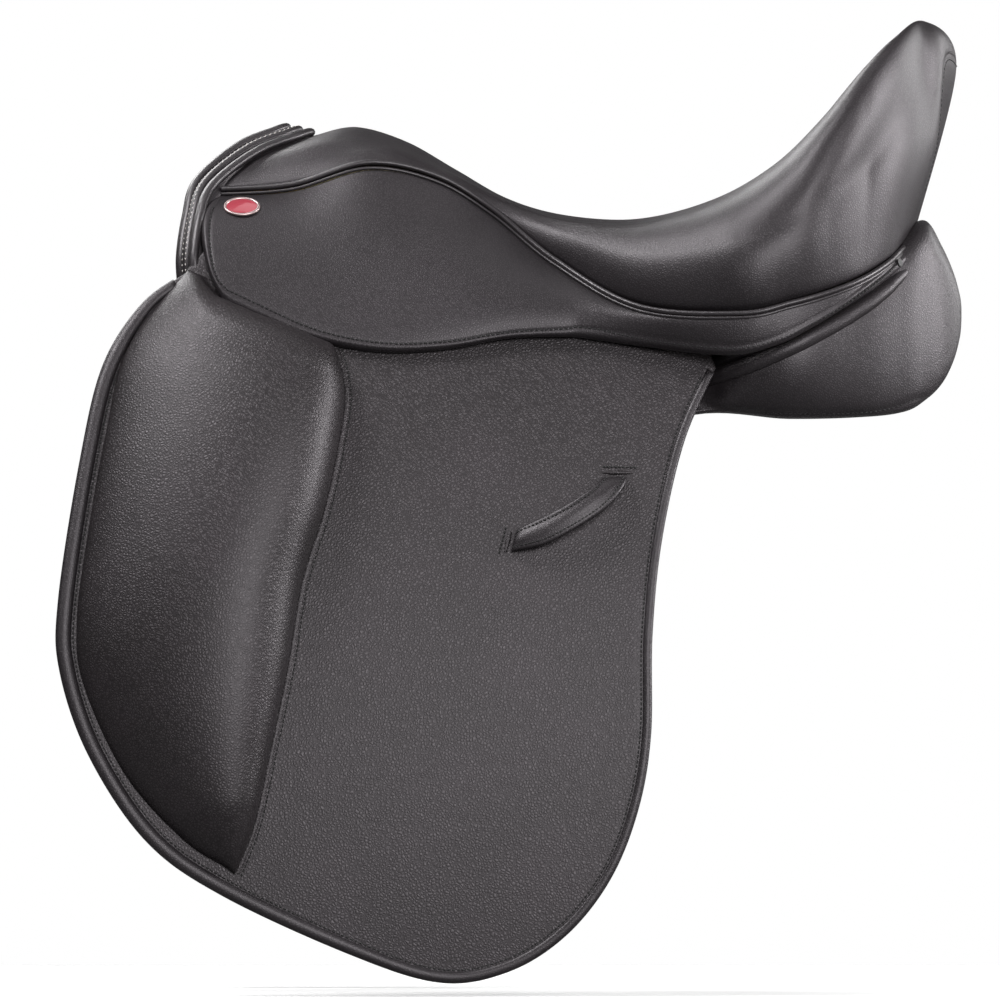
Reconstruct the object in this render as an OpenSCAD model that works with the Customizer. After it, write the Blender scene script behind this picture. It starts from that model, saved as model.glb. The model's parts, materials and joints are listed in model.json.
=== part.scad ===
// Dressage saddle: a padded seat on a sprung wooden tree, wool panels, skirts and flaps that lift,
// girth straps that swing and stirrup bars with thumb catches.
// The front is -X, the near (left) side is -Y and up is +Z.
// The origin is on the centre line, at the level where the panels bear on the horse's back.

/* [Seat] */
// Seat size, from the badge on the skirt to the middle of the cantle
seat_size = 444.5; // [425:0.5:470]
// Height of the pommel above the bearing level
pommel_height = 184.5; // [178:0.5:192]
// Height of the cantle above the bearing level
cantle_height = 247; // [236:0.5:258]
// Half the width of the seat where it is widest
seat_half_width = 141; // [136:0.5:148]
// Thickness of the seat leather
seat_leather = 2; // [1.2:0.1:2.6]
// Depth of the seat foam
foam_depth = 14; // [8:0.5:16]
// Diameter of the piping between seat and skirt
welt_d = 4.4; // [3:0.1:5]
// Diameter of each facing roll round the pommel
front_roll_d = 6.4; // [4:0.1:7]

/* [Tree] */
// Thickness of the laminated tree
tree_thickness = 8; // [5:0.5:9]
// Thickness of the spring steel rails
spring_thickness = 2; // [1:0.1:3]
// Thickness of the webs across the tree
seat_web_thickness = 2; // [1:0.1:3]
// Thickness of each side bar of the tree
side_bar_thickness = 27; // [24:0.5:30]
// Thickness of the steel head plate
head_plate_thickness = 6; // [4:0.5:8]
// Width of the steel head plate along the saddle
head_plate_width = 22; // [16:1:28]

/* [Flaps] */
// Radius that the flaps curve to, round the horse's side
side_radius = 1024; // [980:1:1080]
// Distance of the flap's lowest part from the centre line
flap_spread = 190; // [184:1:198]
// Drop of the flap below the bearing level
flap_drop = 342.6; // [320:0.2:365]
// Thickness of the flap
flap_thickness = 5; // [3.5:0.1:6]
// Width of the rolled strip round the flap's edge
edge_roll_width = 7.5; // [5:0.1:8.5]
// Thickness of the rolled strip round the flap's edge
edge_roll_thickness = 2.5; // [1.5:0.1:4]
// Height of the knee block above the flap
block_height = 38; // [25:1:45]
// Thickness of the stirrup-leather keeper strap
keeper_thickness = 3.5; // [2.5:0.1:4.5]
// Height of the gap under the keeper strap
keeper_gap = 11; // [8:0.5:14]

/* [Skirts] */
// Thickness of the skirt leather
skirt_thickness = 4; // [2.5:0.1:4.5]
// Length of the oval badge
badge_length = 22; // [16:0.5:26]
// Height of the oval badge
badge_width = 13.3; // [9:0.1:15]
// Thickness of the oval badge
badge_thickness = 1.2; // [0.8:0.1:2]
// Diameter of the nail head at the rear end of the skirt
nail_d = 5; // [3:0.1:5.4]

/* [Panels] */
// Width of the gullet between the panels
gullet_width = 66; // [60:1:76]
// Depth of the creases beside the panel gusset
crease_depth = 4; // [2:0.5:6]
// Thickness of the sweat flap
sweat_flap_thickness = 3; // [2:0.1:4]

/* [Girth straps] */
// Width of a girth strap
strap_width = 27; // [24:0.5:32]
// Thickness of a girth strap
strap_thickness = 4; // [3:0.1:4.6]
// Length of a girth strap below its sewing
strap_length = 320; // [280:1:335]
// Diameter of the punched holes
strap_hole_d = 6.5; // [5:0.1:8]
// Distance between the punched holes
strap_hole_pitch = 25; // [20:0.5:28]
// Number of punched holes in a strap
strap_holes = 8; // [5:1:9]
// Thickness of the webs that the straps are sewn to
girth_web_thickness = 2; // [1.5:0.1:2.4]

/* [Stirrup bars] */
// Diameter of the stirrup bar
bar_d = 9; // [8:0.1:10]
// Length of the stirrup bar
bar_length = 66; // [60:1:72]
// Gap behind the stirrup bar for the leather
bar_gap = 6.5; // [5.5:0.1:8]
// Depth that the stirrup bar is let into the tree bar
bar_recess = 10; // [9:0.1:11]
// Thickness of the plate that carries the stirrup bar
bar_plate_thickness = 3; // [2:0.1:3.4]
// Thickness of the thumb catch
catch_thickness = 5; // [4:0.1:5.5]
// Length of the thumb catch past its pin
catch_length = 13; // [10:0.5:14]
// Diameter of the catch pin
catch_pin_d = 3; // [2:0.1:3.6]
// Diameter of the rivets that hold the bar plate
rivet_d = 6; // [4:0.1:7]

/* [Hidden] */
LEFT = -1;
RIGHT = 1;
// Smooth round surfaces of small pieces, and of the wide side shells
$fn = 48;
SHELL_FN = 360;

// The pattern is drawn for one seat size and graded from it
pattern_size = 444.5;
pattern_pommel = 184.5;
pattern_cantle = 247;
pattern_half_width = 141;
pattern_drop = 342.6;
seat_low_x = 31;
seat_low_z = 128.5;
grade = seat_size / pattern_size;
grade_y = seat_half_width / pattern_half_width;

// Clearance between soft pieces that lie against each other
lay_gap = 0.3;
// Clearance between a hinged piece and the piece that it hinges on
hinge_gap = 0.4;
// Swing room on the outer side of a girth strap, and on its sewn side
swing_room = 2.4;
sewing_gap = 0.9;
// Overlap of pieces that are joined into one solid
joint_overlap = 1;

// Smooth curve through knots
function blend4(a, b, c, d, t) =
    0.5 * (2 * b + (c - a) * t + (2 * a - 5 * b + 4 * c - d) * t * t + (3 * b - a - 3 * c + d) * t * t * t);
function at_knot(knots, s) =
    let (n = len(knots) - 1, i = min(floor(s), n - 1))
    blend4(knots[max(i - 1, 0)], knots[i], knots[i + 1], knots[min(i + 2, n)], s - i);
function along(knots, u) = at_knot(knots, u * (len(knots) - 1));
function curve(knots, steps) = [for (k = [0:steps]) along(knots, k / steps)];
function closed_curve(knots, per) =
    let (n = len(knots))
    [for (i = [0:n - 1], k = [0:per - 1])
        blend4(knots[(i + n - 1) % n], knots[i], knots[(i + 1) % n], knots[(i + 2) % n], k / per)];
function mix(a, b, t) = a + (b - a) * t;
function clamp(x, low, high) = min(max(x, low), high);
function unit(v) = v / norm(v);

// A curve moved sideways by a distance, to the left of its direction for a positive one
function inset(path, distance) =
    [for (i = [0:len(path) - 1])
        let (d = unit(path[min(i + 1, len(path) - 1)] - path[max(i - 1, 0)]))
        path[i] + distance * [-d[1], d[0]]];

// Pattern points at the graded size; heights above the low point follow the pommel and the cantle
function lifted(x, z) =
    let (over = max(z - seat_low_z, 0))
    x < seat_low_x
        ? z + (pommel_height - pattern_pommel) * over / (pattern_pommel - seat_low_z)
        : z + (cantle_height - pattern_cantle) * over / (pattern_cantle - seat_low_z);
function sized(p) = [p[0] * grade, p[1] * grade_y, lifted(p[0], p[2])];
function dropped(z) = z < 0 ? z * flap_drop / pattern_drop : z;
function flap_point(p) = [p[0] * grade, dropped(p[1])];

// Distance from the centre line of a round side layer of radius r at height z
side_z = -flap_drop;
side_offset = side_radius - flap_spread;
function out_at(r, z) = sqrt(r * r - (z - side_z) * (z - side_z)) - side_offset;
function on_side_layer(p, r) = [p[0], -out_at(r, p[1]), p[1]];

// Radii of the side layers, from the flap inwards
flap_in = side_radius - flap_thickness;
side_bar_out = flap_in - lay_gap;
side_bar_in = side_bar_out - side_bar_thickness;
plate_out = side_bar_out - bar_recess;
plate_in = plate_out - bar_plate_thickness;
recess_floor = plate_in - lay_gap;
strap_out = flap_in - swing_room;
strap_in = strap_out - strap_thickness;
web_out = strap_in - sewing_gap;
web_in = web_out - girth_web_thickness;
sweat_out = web_in - lay_gap;
sweat_in = sweat_out - sweat_flap_thickness;

// Closed solid between two grids of points; rows x columns point out of the first grid
module slab(outer, inner) {
    rows = len(outer);
    cols = len(outer[0]);
    n = rows * cols;
    function id(i, j) = i * cols + j;
    points = [for (row = outer) each row, for (row = inner) each row];
    skin = [for (i = [0:rows - 2], j = [0:cols - 2])
        each [[id(i, j), id(i, j + 1), id(i + 1, j + 1)], [id(i, j), id(i + 1, j + 1), id(i + 1, j)]]];
    back = [for (f = skin) [f[0] + n, f[2] + n, f[1] + n]];
    border = concat(
        [for (j = [0:cols - 2]) id(0, j)],
        [for (i = [0:rows - 2]) id(i, cols - 1)],
        [for (j = [cols - 1:-1:1]) id(rows - 1, j)],
        [for (i = [rows - 1:-1:1]) id(i, 0)]);
    walls = [for (k = [0:len(border) - 1])
        let (a = border[k], b = border[(k + 1) % len(border)])
        each [[b, a, a + n], [b, a + n, b + n]]];
    polyhedron(points, concat(skin, back, walls), convexity = 8);
}

// Closed solid through rings of points, with both ends capped
module loft(rings) {
    count = len(rings);
    sides = len(rings[0]);
    function id(i, j) = i * sides + j % sides;
    function middle(ring) = [for (k = [0:2]) [for (p = ring) p[k]] * [for (p = ring) 1 / sides]];
    points = concat([for (ring = rings) each ring], [middle(rings[0]), middle(rings[count - 1])]);
    skin = [for (i = [0:count - 2], j = [0:sides - 1])
        each [[id(i, j), id(i, j + 1), id(i + 1, j + 1)], [id(i, j), id(i + 1, j + 1), id(i + 1, j)]]];
    caps = [for (j = [0:sides - 1])
        each [[id(0, j + 1), id(0, j), count * sides],
              [id(count - 1, j), id(count - 1, j + 1), count * sides + 1]]];
    polyhedron(points, concat(skin, caps), convexity = 8);
}

// Round tube along a path that never runs straight up
module tube(path, d, sides = 8) {
    last = len(path) - 1;
    loft([for (i = [0:last])
        let (t = unit(path[min(i + 1, last)] - path[max(i - 1, 0)]),
             side = unit(cross([0, 0, 1], t)),
             up = cross(t, side))
        [for (k = [0:sides - 1])
            path[i] + d / 2 * (sin(k * 360 / sides) * up - cos(k * 360 / sides) * side)]]);
}

// A piece drawn for the left side, on either side
module on_side(side) {
    if (side == RIGHT) mirror([0, 1, 0]) children();
    else children();
}

// A flat outline cut from a round side layer
module from_side_layer(r_in, r_out) {
    reach = 4 * flap_spread;
    intersection() {
        translate([0, side_offset, side_z]) rotate([0, 90, 0]) difference() {
            cylinder(h = 2 * seat_size, r = r_out, center = true, $fn = SHELL_FN);
            cylinder(h = 3 * seat_size, r = r_in, center = true, $fn = SHELL_FN);
        }
        rotate([90, 0, 0]) linear_extrude(reach) children();
    }
}

// Seat stations from the pommel over the cantle to the bottom of its back.
// Each has the middle, the rim, the side wall and the edge at the piping, and the core it is padded towards.
seat_middle = [[-163, 0, 179], [-138, 0, 184], [-107, 0, 175], [-76, 0, 157.5], [-45, 0, 140], [-12, 0, 130],
    [31, 0, 126], [72, 0, 129], [105, 0, 138], [140, 0, 160], [172, 0, 190], [200, 0, 223], [217, 0, 246.5],
    [233.5, 0, 219], [207, 0, 116]];
seat_rim = [[-196, 30, 166], [-152, 34, 177], [-114, 34, 172], [-78, 34, 155], [-46, 40, 138], [-12, 58, 127],
    [34, 84, 124], [84, 104, 137], [122, 117, 159], [150, 120, 187], [174, 110, 216], [194, 86, 236],
    [210, 54, 243], [226, 40, 219], [206.7, 20, 115.7]];
seat_wall = [[-210, 43, 156], [-166, 49, 164], [-122, 50, 169], [-84, 48, 155.5], [-50, 53, 136.5],
    [-13, 74, 116], [35, 108, 102], [92, 130, 106], [128, 135, 120], [154, 132, 138], [178, 121, 158],
    [199, 102, 172], [214, 78, 178], [220, 54, 168], [206.3, 34, 115.3]];
seat_edge = [[-222, 52, 146], [-176, 58, 149], [-130, 60, 162], [-88, 58, 154], [-53, 62, 133],
    [-16, 82, 103], [36, 121, 74], [98, 141, 69.5], [130, 140, 76], [154, 134, 83], [174, 123, 91], [190, 106, 101],
    [199, 86, 110], [204, 64, 114], [206, 46, 115]];
seat_core = [[-165, 0, 110], [-140, 0, 112], [-110, 0, 108], [-78, 0, 96], [-46, 0, 76], [-12, 0, 62],
    [33, 0, 55], [82, 0, 58], [115, 0, 72], [145, 0, 100], [180, 0, 125], [212, 0, 150], [202, 0, 150],
    [190, 0, 180], [182, 0, 150]];
// Share of the full padding at each station, thin over the cantle
padding_share = [0.8, 1, 1, 1, 1, 1, 1, 1, 1, 0.8, 0.6, 0.45, 0.25, 0.15, 0.15];
seat_stations = len(seat_middle) - 1;
// Rows of the seat's grid per station, and across
seat_rows_per_station = 2;
seat_pitch = 1 / seat_rows_per_station;
seat_across = 6;

function seat_knots(s) =
    let (w = at_knot(seat_edge, s), m = at_knot(seat_wall, s), r = at_knot(seat_rim, s))
    [for (p = [w, m, r]) [p[0], -p[1], p[2]], at_knot(seat_middle, s), r, m, w];
// Point of the seat at a station s, at q across from the left edge, leather and padding deep
function seat_point(s, q, leather, padding) =
    let (top = sized(at_knot(seat_knots(s), q)),
         core = sized(at_knot(seat_core, s)),
         depth = leather + padding * at_knot(padding_share, s))
    top + depth * unit(core - top);
function seat_grid(s0, s1, q0, q1, leather, padding) =
    [for (s = [s0:seat_pitch:s1]) [for (q = [q0:seat_pitch:q1]) seat_point(s, q, leather, padding)]];
module seat_layer(s0, s1, q0, q1, leather, padding) {
    slab(seat_grid(s0, s1, q0, q1, leather[0], padding[0]),
        seat_grid(s0, s1, q0, q1, leather[1], padding[1]));
}

// Stations where the cantle back is sewn on and where the tree's pieces join
back_seam = 12.5;
head_end = 2.5;
cantle_start = 9;
cantle_end = 11.5;
rail_edge = [0.5, 2];
spring_edge = [1, 1.5];
tree_depth = foam_depth + tree_thickness;

module seat_cover() {
    color("#3a3739") seat_layer(0, back_seam, 0, seat_across, [0, seat_leather], [0, 0]);
}

module cantle_back() {
    color("#2e2b2d") seat_layer(back_seam, seat_stations, 0, seat_across, [0, seat_leather], [0, 0]);
}

module seat_foam() {
    color("#d8cfa8")
        seat_layer(0, seat_stations, 0, seat_across, [seat_leather, seat_leather], [0, foam_depth]);
}

module tree_layer(s0, s1, q0, q1) {
    color("#c9a26b")
        seat_layer(s0, s1, q0, q1, [seat_leather, seat_leather], [foam_depth, tree_depth]);
}

module tree_head() {
    tree_layer(0, head_end, rail_edge[0], seat_across - rail_edge[0]);
}

// Places across the seat of a strip drawn for the left side, on either side
function strip(edges, side) = side == LEFT ? edges : [seat_across - edges[1], seat_across - edges[0]];
module tree_rail(side) {
    across = strip(rail_edge, side);
    tree_layer(head_end, cantle_start, across[0], across[1]);
}

module tree_cantle() {
    tree_layer(cantle_start, cantle_end, rail_edge[0], seat_across - rail_edge[0]);
}

module spring_rail(side) {
    under = seat_leather + lay_gap;
    across = strip(spring_edge, side);
    color("#8d9298")
        seat_layer(1, cantle_start + 1, across[0], across[1],
            [under, under + spring_thickness], [tree_depth, tree_depth]);
}

// Webs across the tree between its rails
web_starts = [4, 5.5, 7];
module seat_webs() {
    color("#cfc8b8") for (s = web_starts)
        seat_layer(s, s + 1, rail_edge[1], seat_across - rail_edge[1],
            [seat_leather, seat_leather + seat_web_thickness], [foam_depth, foam_depth]);
}

// Piping along the edge of the seat, set away from the core and a little down
welt_start = 0.1;
welt_end = 12.1;
welt_down = [0, 0, -0.8];
function edge_at(s) = sized(at_knot(seat_edge, s));
module seat_welt(side) {
    path = [for (s = [welt_start:seat_pitch:welt_end])
        let (p = edge_at(s), away = unit(unit(p - sized(at_knot(seat_core, s))) + welt_down))
        p + (welt_d / 2 + 3 * lay_gap) * away];
    on_side(side) color("#242224") tube([for (p = path) [p[0], -p[1], p[2]]], welt_d, 6);
}

// Facing rolls round the pommel, each one step forward and inward of the last
roll_knots = [[-238, 86, 103], [-234.5, 73, 128], [-226, 54.5, 148], [-199.5, 31.5, 168.5], [-167, 0, 180.5]];
roll_step = [[-4, -6, 0], [-4, -6, 0], [-5, -5, 1], [-6, -4, 1.5], [-7.5, 0, 1.5]];
module front_roll(k) {
    half = [for (i = [0:len(roll_knots) - 1]) sized(roll_knots[i] + k * roll_step[i])];
    left = [for (p = half) [p[0], -p[1], p[2]]];
    right = [for (i = [len(half) - 2:-1:0]) half[i]];
    color("#2a2729") tube(curve(concat(left, right), 32), front_roll_d);
}

// Tree bars at the sides, which the stirrup bars are riveted to
tree_bar_front = -212 * grade;
tree_bar_rear = -42 * grade;
tree_bar_low = 74;
tree_bar_top = 112;
recess_margin = 4;
module tree_bar(side) {
    recess_front = bar_front - recess_margin;
    recess_length = tree_bar_rear - recess_front;
    height = tree_bar_top - tree_bar_low;
    on_side(side) color("#c9a26b") difference() {
        union() {
            from_side_layer(side_bar_in, side_bar_out)
                translate([tree_bar_front, tree_bar_low]) square([recess_front - tree_bar_front, height]);
            from_side_layer(side_bar_in, recess_floor)
                translate([recess_front - joint_overlap, tree_bar_low])
                    square([recess_length + joint_overlap, height]);
        }
        for (p = rivet_places) rivet_hole(p, rivet_d + rivet_clear);
    }
}

// Steel arch over the withers that joins the two tree bars under the tree's head
head_place = [-146, 183.5];
head_edge_z = 149;
head_drop = 8;
head_plate_x = head_place[0] * grade;
// The seat above the plate, where its middle or its edges have come down further
head_over_z = min(lifted(head_place[0], head_place[1]),
    lifted(head_place[0], head_edge_z) + head_place[1] - head_edge_z);
head_plate_top = head_over_z - seat_leather - tree_depth - head_drop;
head_plate_foot = out_at(side_bar_out, tree_bar_top) - head_plate_thickness;
head_plate_base = tree_bar_top + lay_gap;
head_arch_rise = head_plate_top - head_plate_base;
head_arch_r = (head_plate_foot * head_plate_foot + head_arch_rise * head_arch_rise) / (2 * head_arch_rise);
module head_plate() {
    color("#8d9298") translate([head_plate_x, 0, head_plate_top - head_arch_r]) rotate([90, 0, 90])
        intersection() {
            linear_extrude(head_plate_width, center = true) difference() {
                circle(r = head_arch_r);
                circle(r = head_arch_r - head_plate_thickness);
            }
            translate([-head_plate_foot, head_arch_r - head_arch_rise, -head_plate_width])
                cube([2 * head_plate_foot, 2 * head_arch_rise, 2 * head_plate_width]);
        }
}

// Panel stations: place along the saddle and the four corners of the flocked section,
// inner top, inner bottom, outer bottom and outer top
panel_stations = [
    [-226, [40, 104], [44, 84], [76, 30], [76, 78]],
    [-214, [34, 116], [44, 70], [104, -40], [92, 72]],
    [-150, [33, 108], [42, 64], [116, -70], [96, 70]],
    [-80, [33, 96], [40, 52], [116, -60], [96, 68]],
    [0, [33, 84], [38, 42], [112, -22], [96, 62]],
    [70, [33, 78], [36, 36], [108, 6], [104, 58]],
    [130, [33, 88], [36, 34], [112, 4], [122, 60]],
    [180, [33, 100], [36, 36], [108, 7], [106, 78]],
    [210, [34, 104], [38, 46], [94, 17], [84, 98]],
    [228, [38, 92], [42, 56], [76, 33], [70, 88]],
    [235, [46, 78], [46, 62], [62, 52], [60, 76]]];
panel_rings = 22;
panel_per_side = 5;
// Sides of a panel ring where the two gusset creases run, past the outer bottom corner
crease_places = [2 * panel_per_side + 2, 2 * panel_per_side + 4];
crease_front_x = 60;
crease_run_in = 40;
flap_rear_x = 78;
// Heights between which the panel passes from under the tree bar to under the sweat flap
panel_step_top = tree_bar_low - 14;
panel_step = 10;

// Greatest distance from the centre line that the layers outside the panel leave at a height
function panel_limit(x, z) =
    let (under = clamp((panel_step_top - z) / panel_step, 0, 1),
         r = mix(side_bar_in, sweat_in, under) - lay_gap)
    out_at(r, z) + max(0, x - flap_rear_x);
function panel_ring(u) =
    let (x = along([for (p = panel_stations) p[0]], u),
         corners = [for (k = [1:4]) along([for (p = panel_stations) p[k]], u)],
         loop = closed_curve(corners, panel_per_side),
         deep = crease_depth * clamp((x - crease_front_x) / crease_run_in, 0, 1))
    [for (k = [0:len(loop) - 1])
        let (pinch = len(search(k, crease_places)) > 0 ? deep : 0,
             z = loop[k][1],
             y = clamp(loop[k][0], gullet_width / 2, panel_limit(x, z)) - pinch)
        [x * grade, -y, z]];
module panel(side) {
    on_side(side) color("#332f31") loft([for (k = [0:panel_rings]) panel_ring(k / panel_rings)]);
}

// Sweat flap between the panel and the girth straps
sweat_knots = [[-205, 66], [-222, -20], [-228, -110], [-205, -200], [-150, -255], [-70, -272], [0, -240],
    [34, -160], [44, -60], [58, 22]];
module sweat_flap(side) {
    on_side(side) color("#3d3937") from_side_layer(sweat_in, sweat_out)
        polygon([for (p = curve(sweat_knots, 36)) flap_point(p)]);
}

// Flap: its top edge runs along the line where the leather bends
hinge_front = [-243 * grade, 94];
hinge_rear = [84 * grade, 36];
flap_knots = [[84, 34.7], [64, -10], [50, -71], [44, -130], [43, -192], [35, -238], [18, -280], [-9, -314],
    [-44, -336], [-86, -342.6], [-142, -325], [-220, -289], [-266, -256], [-301, -204], [-319, -152],
    [-320, -109], [-307, -23], [-293, 36], [-269, 74], [-243, 92.7]];
flap_edge = [for (p = curve(flap_knots, 57)) flap_point(p)];

module flap(side) {
    on_side(side) color("#433f40") from_side_layer(flap_in, side_radius) polygon(flap_edge);
}

// Rolled strip sewn on round the edge of the flap, which starts clear of the skirt
edge_roll_start = 2;
module edge_roll(side) {
    outer = [for (i = [edge_roll_start:len(flap_edge) - 1 - edge_roll_start]) flap_edge[i]];
    inner = inset(outer, -edge_roll_width);
    strip = concat(outer, [for (i = [len(inner) - 1:-1:0]) inner[i]]);
    on_side(side) color("#2c292b")
        from_side_layer(side_radius + lay_gap / 2, side_radius + lay_gap / 2 + edge_roll_thickness)
            polygon(strip);
}

// Upper hem of the flap, which stays fixed to the tree, with the window for the stirrup bar
hem_front = -228 * grade;
hem_rear = 76 * grade;
hem_front_top = 110;
hem_rear_top = 54;
window_margin = 2;
window_top = 102;
function hem_corner(x) =
    let (run = (x - hinge_front[0]) / (hinge_rear[0] - hinge_front[0]))
    [x, mix(hinge_front[1], hinge_rear[1], run) + hinge_gap];
module flap_hem(side) {
    on_side(side) color("#3d3937") difference() {
        from_side_layer(flap_in, side_radius)
            polygon([hem_corner(hem_front), hem_corner(hem_rear),
                [hem_rear, hem_rear_top], [hem_front, hem_front_top]]);
        translate([bar_front - window_margin, -flap_spread, bar_z - bar_d / 2 - window_margin])
            cube([bar_length + catch_length + 2 * window_margin, flap_spread, window_top - bar_z]);
    }
}

// Knee block: a pad on the flap, with a gentle front and a steep rear seam
block_front = [[-218, -272], [-243, -256], [-279, -216], [-305, -160], [-309, -120], [-302, -65], [-291, -5],
    [-276, 47], [-247, 84]];
block_seam = [[-212, -277], [-200, -246], [-190, -200], [-180, -152], [-171, -98], [-157, -52], [-148, -9],
    [-146, 20], [-154, 38]];
block_rows = 10;
block_cols = 14;
block_floor = 1.5;
// Share of the height across the pad, u from front to seam, and along it, t from the tip up
block_tip_run = 6;
function block_across(u) = 1.9 * pow(u, 0.75) * pow(1 - u, 0.32);
function block_up(t) = 0.3 + 0.7 * pow(sin(130 * min(1.15 * t, 1)), 0.8);
function block_shape(u, t) = block_across(u) * block_up(t) * clamp(block_tip_run * t, 0, 1);
function block_plan(u, t) = flap_point(mix(along(block_front, t), along(block_seam, t), u));
function block_grid(base, height) =
    [for (i = [0:block_rows]) [for (j = [0:block_cols])
        let (u = i / block_rows, t = j / block_cols)
        on_side_layer(block_plan(u, t), side_radius + base + height * block_shape(u, t))]];
module knee_block(side) {
    on_side(side) color("#474344")
        slab(block_grid(lay_gap + block_floor, block_height), block_grid(lay_gap, 0));
}

// Keeper strap: an arch on the flap, between its lower and upper edges
keeper_low = [[-41, -79], [-26, -75], [-9, -69], [6, -60], [18, -50], [29.5, -35]];
keeper_high = [[-38, -66], [-26, -61], [-13, -54], [0, -47], [9, -41], [15, -34]];
keeper_steps = 12;
function keeper_rise(u) = pow(sin(u * 180), 0.7);
function keeper_grid(base, height) =
    [for (i = [0:keeper_steps])
        let (u = i / keeper_steps)
        [for (v = [0:0.5:1])
            on_side_layer(flap_point(mix(along(keeper_low, u), along(keeper_high, u), v)),
                side_radius + base + height * keeper_rise(u))]];
module keeper(side) {
    on_side(side) color("#363234")
        slab(keeper_grid(lay_gap + keeper_thickness, keeper_gap), keeper_grid(lay_gap, keeper_gap));
}

// Skirt: the straight line where its lobe bends, its belly over the stirrup bar and its lower edge on the
// flap. Belly knots are the place along the saddle, the distance from the centre line and the height.
skirt_bend = [[-222, 66, 141], [-2, 113, 82]];
skirt_belly = [[-233, 93, 112], [-192, 102, 97], [-155, 108, 87], [-116, 113, 81], [-78, 115, 79],
    [-40, 116, 74], [-2, 116, 68]];
skirt_low = [[-224, 79], [-200, 67], [-163, 52.5], [-122, 45], [-82, 46], [-43, 52], [-2, 53]];
tail_low = [[-2, 115.7, 53], [43, 121.5, 45.5], [93, 139.5, 41], [122, 143.5, 48], [143, 141, 58.5],
    [161, 135, 69.5], [177, 126, 81.5], [190, 111, 91.5], [197.5, 96, 100], [202, 85, 105.5]];
// Seat stations beside the two ends of the tail
tail_start = 5.3;
tail_end = 12.6;
lobe_rows = 12;
lobe_cols = 6;
tail_rows = 14;
welt_clear = welt_d + 1;
tail_belly = 9;
function leftward(p, thin) = [p[0], -p[1] + thin, p[2]];
function under_welt(s) = edge_at(s) + [0, welt_d / 2 + 1, -welt_clear];
function bend_at(u) = mix(sized(skirt_bend[0]), sized(skirt_bend[1]), u);
function on_flap(p) = [p[0] * grade, out_at(side_radius, p[1]) + 2 * lay_gap + skirt_thickness, p[1]];
function lobe_point(u, v) =
    along([on_flap(along(skirt_low, u)), sized(along(skirt_belly, u)), bend_at(u) - [0, 0, hinge_gap]], v);
function lobe_grid(thin) =
    [for (i = [0:lobe_rows])
        [for (j = [0:lobe_cols]) leftward(lobe_point(i / lobe_rows, j / lobe_cols), thin)]];
module skirt_lobe(side) {
    on_side(side) color("#3a3739") slab(lobe_grid(0), lobe_grid(skirt_thickness));
}

// Fixed part of the skirt: the band between piping and bend, and the tail back to the cantle
function band_point(u, v) = mix(bend_at(u) + [0, 0, hinge_gap], under_welt(u * tail_start), v);
function band_grid(thin) =
    [for (i = [0:lobe_rows]) [for (v = [0:0.5:1]) leftward(band_point(i / lobe_rows, v), thin)]];
function tail_point(u, v) =
    mix(sized(along(tail_low, u)), under_welt(mix(tail_start, tail_end, u)), v)
        + [0, tail_belly * pow(1 - u, 6) * sin(v * 180), 0];
function tail_grid(thin) =
    [for (i = [0:tail_rows]) [for (v = [0:0.25:1]) leftward(tail_point(i / tail_rows, v), thin)]];
module skirt_band(side) {
    on_side(side) color("#3a3739") slab(band_grid(0), band_grid(skirt_thickness));
}

module skirt_tail(side) {
    on_side(side) color("#3a3739") translate([2 * hinge_gap, 0, 0])
        slab(tail_grid(0), tail_grid(skirt_thickness));
}

// Plain oval badge on the lobe, and the nail at the rear end of the skirt
badge_u = 0.1;
badge_v = 0.8;
badge_gap = 0.6;
slope_step = 0.03;
function lobe_slope(du, dv) =
    leftward(lobe_point(badge_u + du, badge_v + dv), 0) - leftward(lobe_point(badge_u - du, badge_v - dv), 0);
module badge(side) {
    out = unit(cross(lobe_slope(slope_step, 0), lobe_slope(0, slope_step)));
    oval = [for (a = [0:10:350]) [badge_length / 2 * cos(a), badge_width / 2 * sin(a)]];
    on_side(side) color("#7c2430") translate(leftward(lobe_point(badge_u, badge_v), 0) + badge_gap * out)
        rotate([acos(out[2]), 0, atan2(out[0], -out[1])])
            linear_extrude(badge_thickness) polygon(oval);
}

nail_u = 0.86;
nail_v = 0.25;
nail_height = 1.5;
function tail_slope(du, dv) =
    leftward(tail_point(nail_u + du, nail_v + dv), 0) - leftward(tail_point(nail_u - du, nail_v - dv), 0);
module skirt_nails() {
    out = unit(cross(tail_slope(slope_step, 0), tail_slope(0, slope_step)));
    for (side = [LEFT, RIGHT]) on_side(side) color("#242224")
        translate(leftward(tail_point(nail_u, nail_v), 0) + 3 * lay_gap * out)
            rotate([0, acos(out[2]), atan2(out[1], out[0])]) cylinder(h = nail_height, d = nail_d);
}

// Girth straps and the webs that they are sewn to; the outlines turn about the middle of the sewing
strap_places = [-108 * grade, -22 * grade];
strap_pivot_z = 25;
web_below = 20;
web_length = 52;
module girth_web(k, side) {
    x = strap_places[k];
    on_side(side) color("#cfc8b8") from_side_layer(web_in, web_out)
        translate([x - strap_width / 2, strap_pivot_z - web_below]) square([strap_width, web_length]);
}

strap_tip = 14;
strap_head = 14;
first_hole = 22;
module girth_strap(k, side) {
    x = strap_places[k];
    half = strap_width / 2;
    head_z = strap_pivot_z + strap_head;
    tip_z = strap_pivot_z - strap_length;
    shoulder_z = tip_z + strap_tip;
    on_side(side) color("#3b3436") difference() {
        from_side_layer(strap_in, strap_out)
            polygon([[x - half, head_z], [x - half, shoulder_z], [x, tip_z],
                [x + half, shoulder_z], [x + half, head_z]]);
        for (h = [0:strap_holes - 1])
            translate([x, 0, tip_z + first_hole + h * strap_hole_pitch]) rotate([90, 0, 0])
                cylinder(h = 2 * flap_spread, d = strap_hole_d);
    }
}

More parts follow.
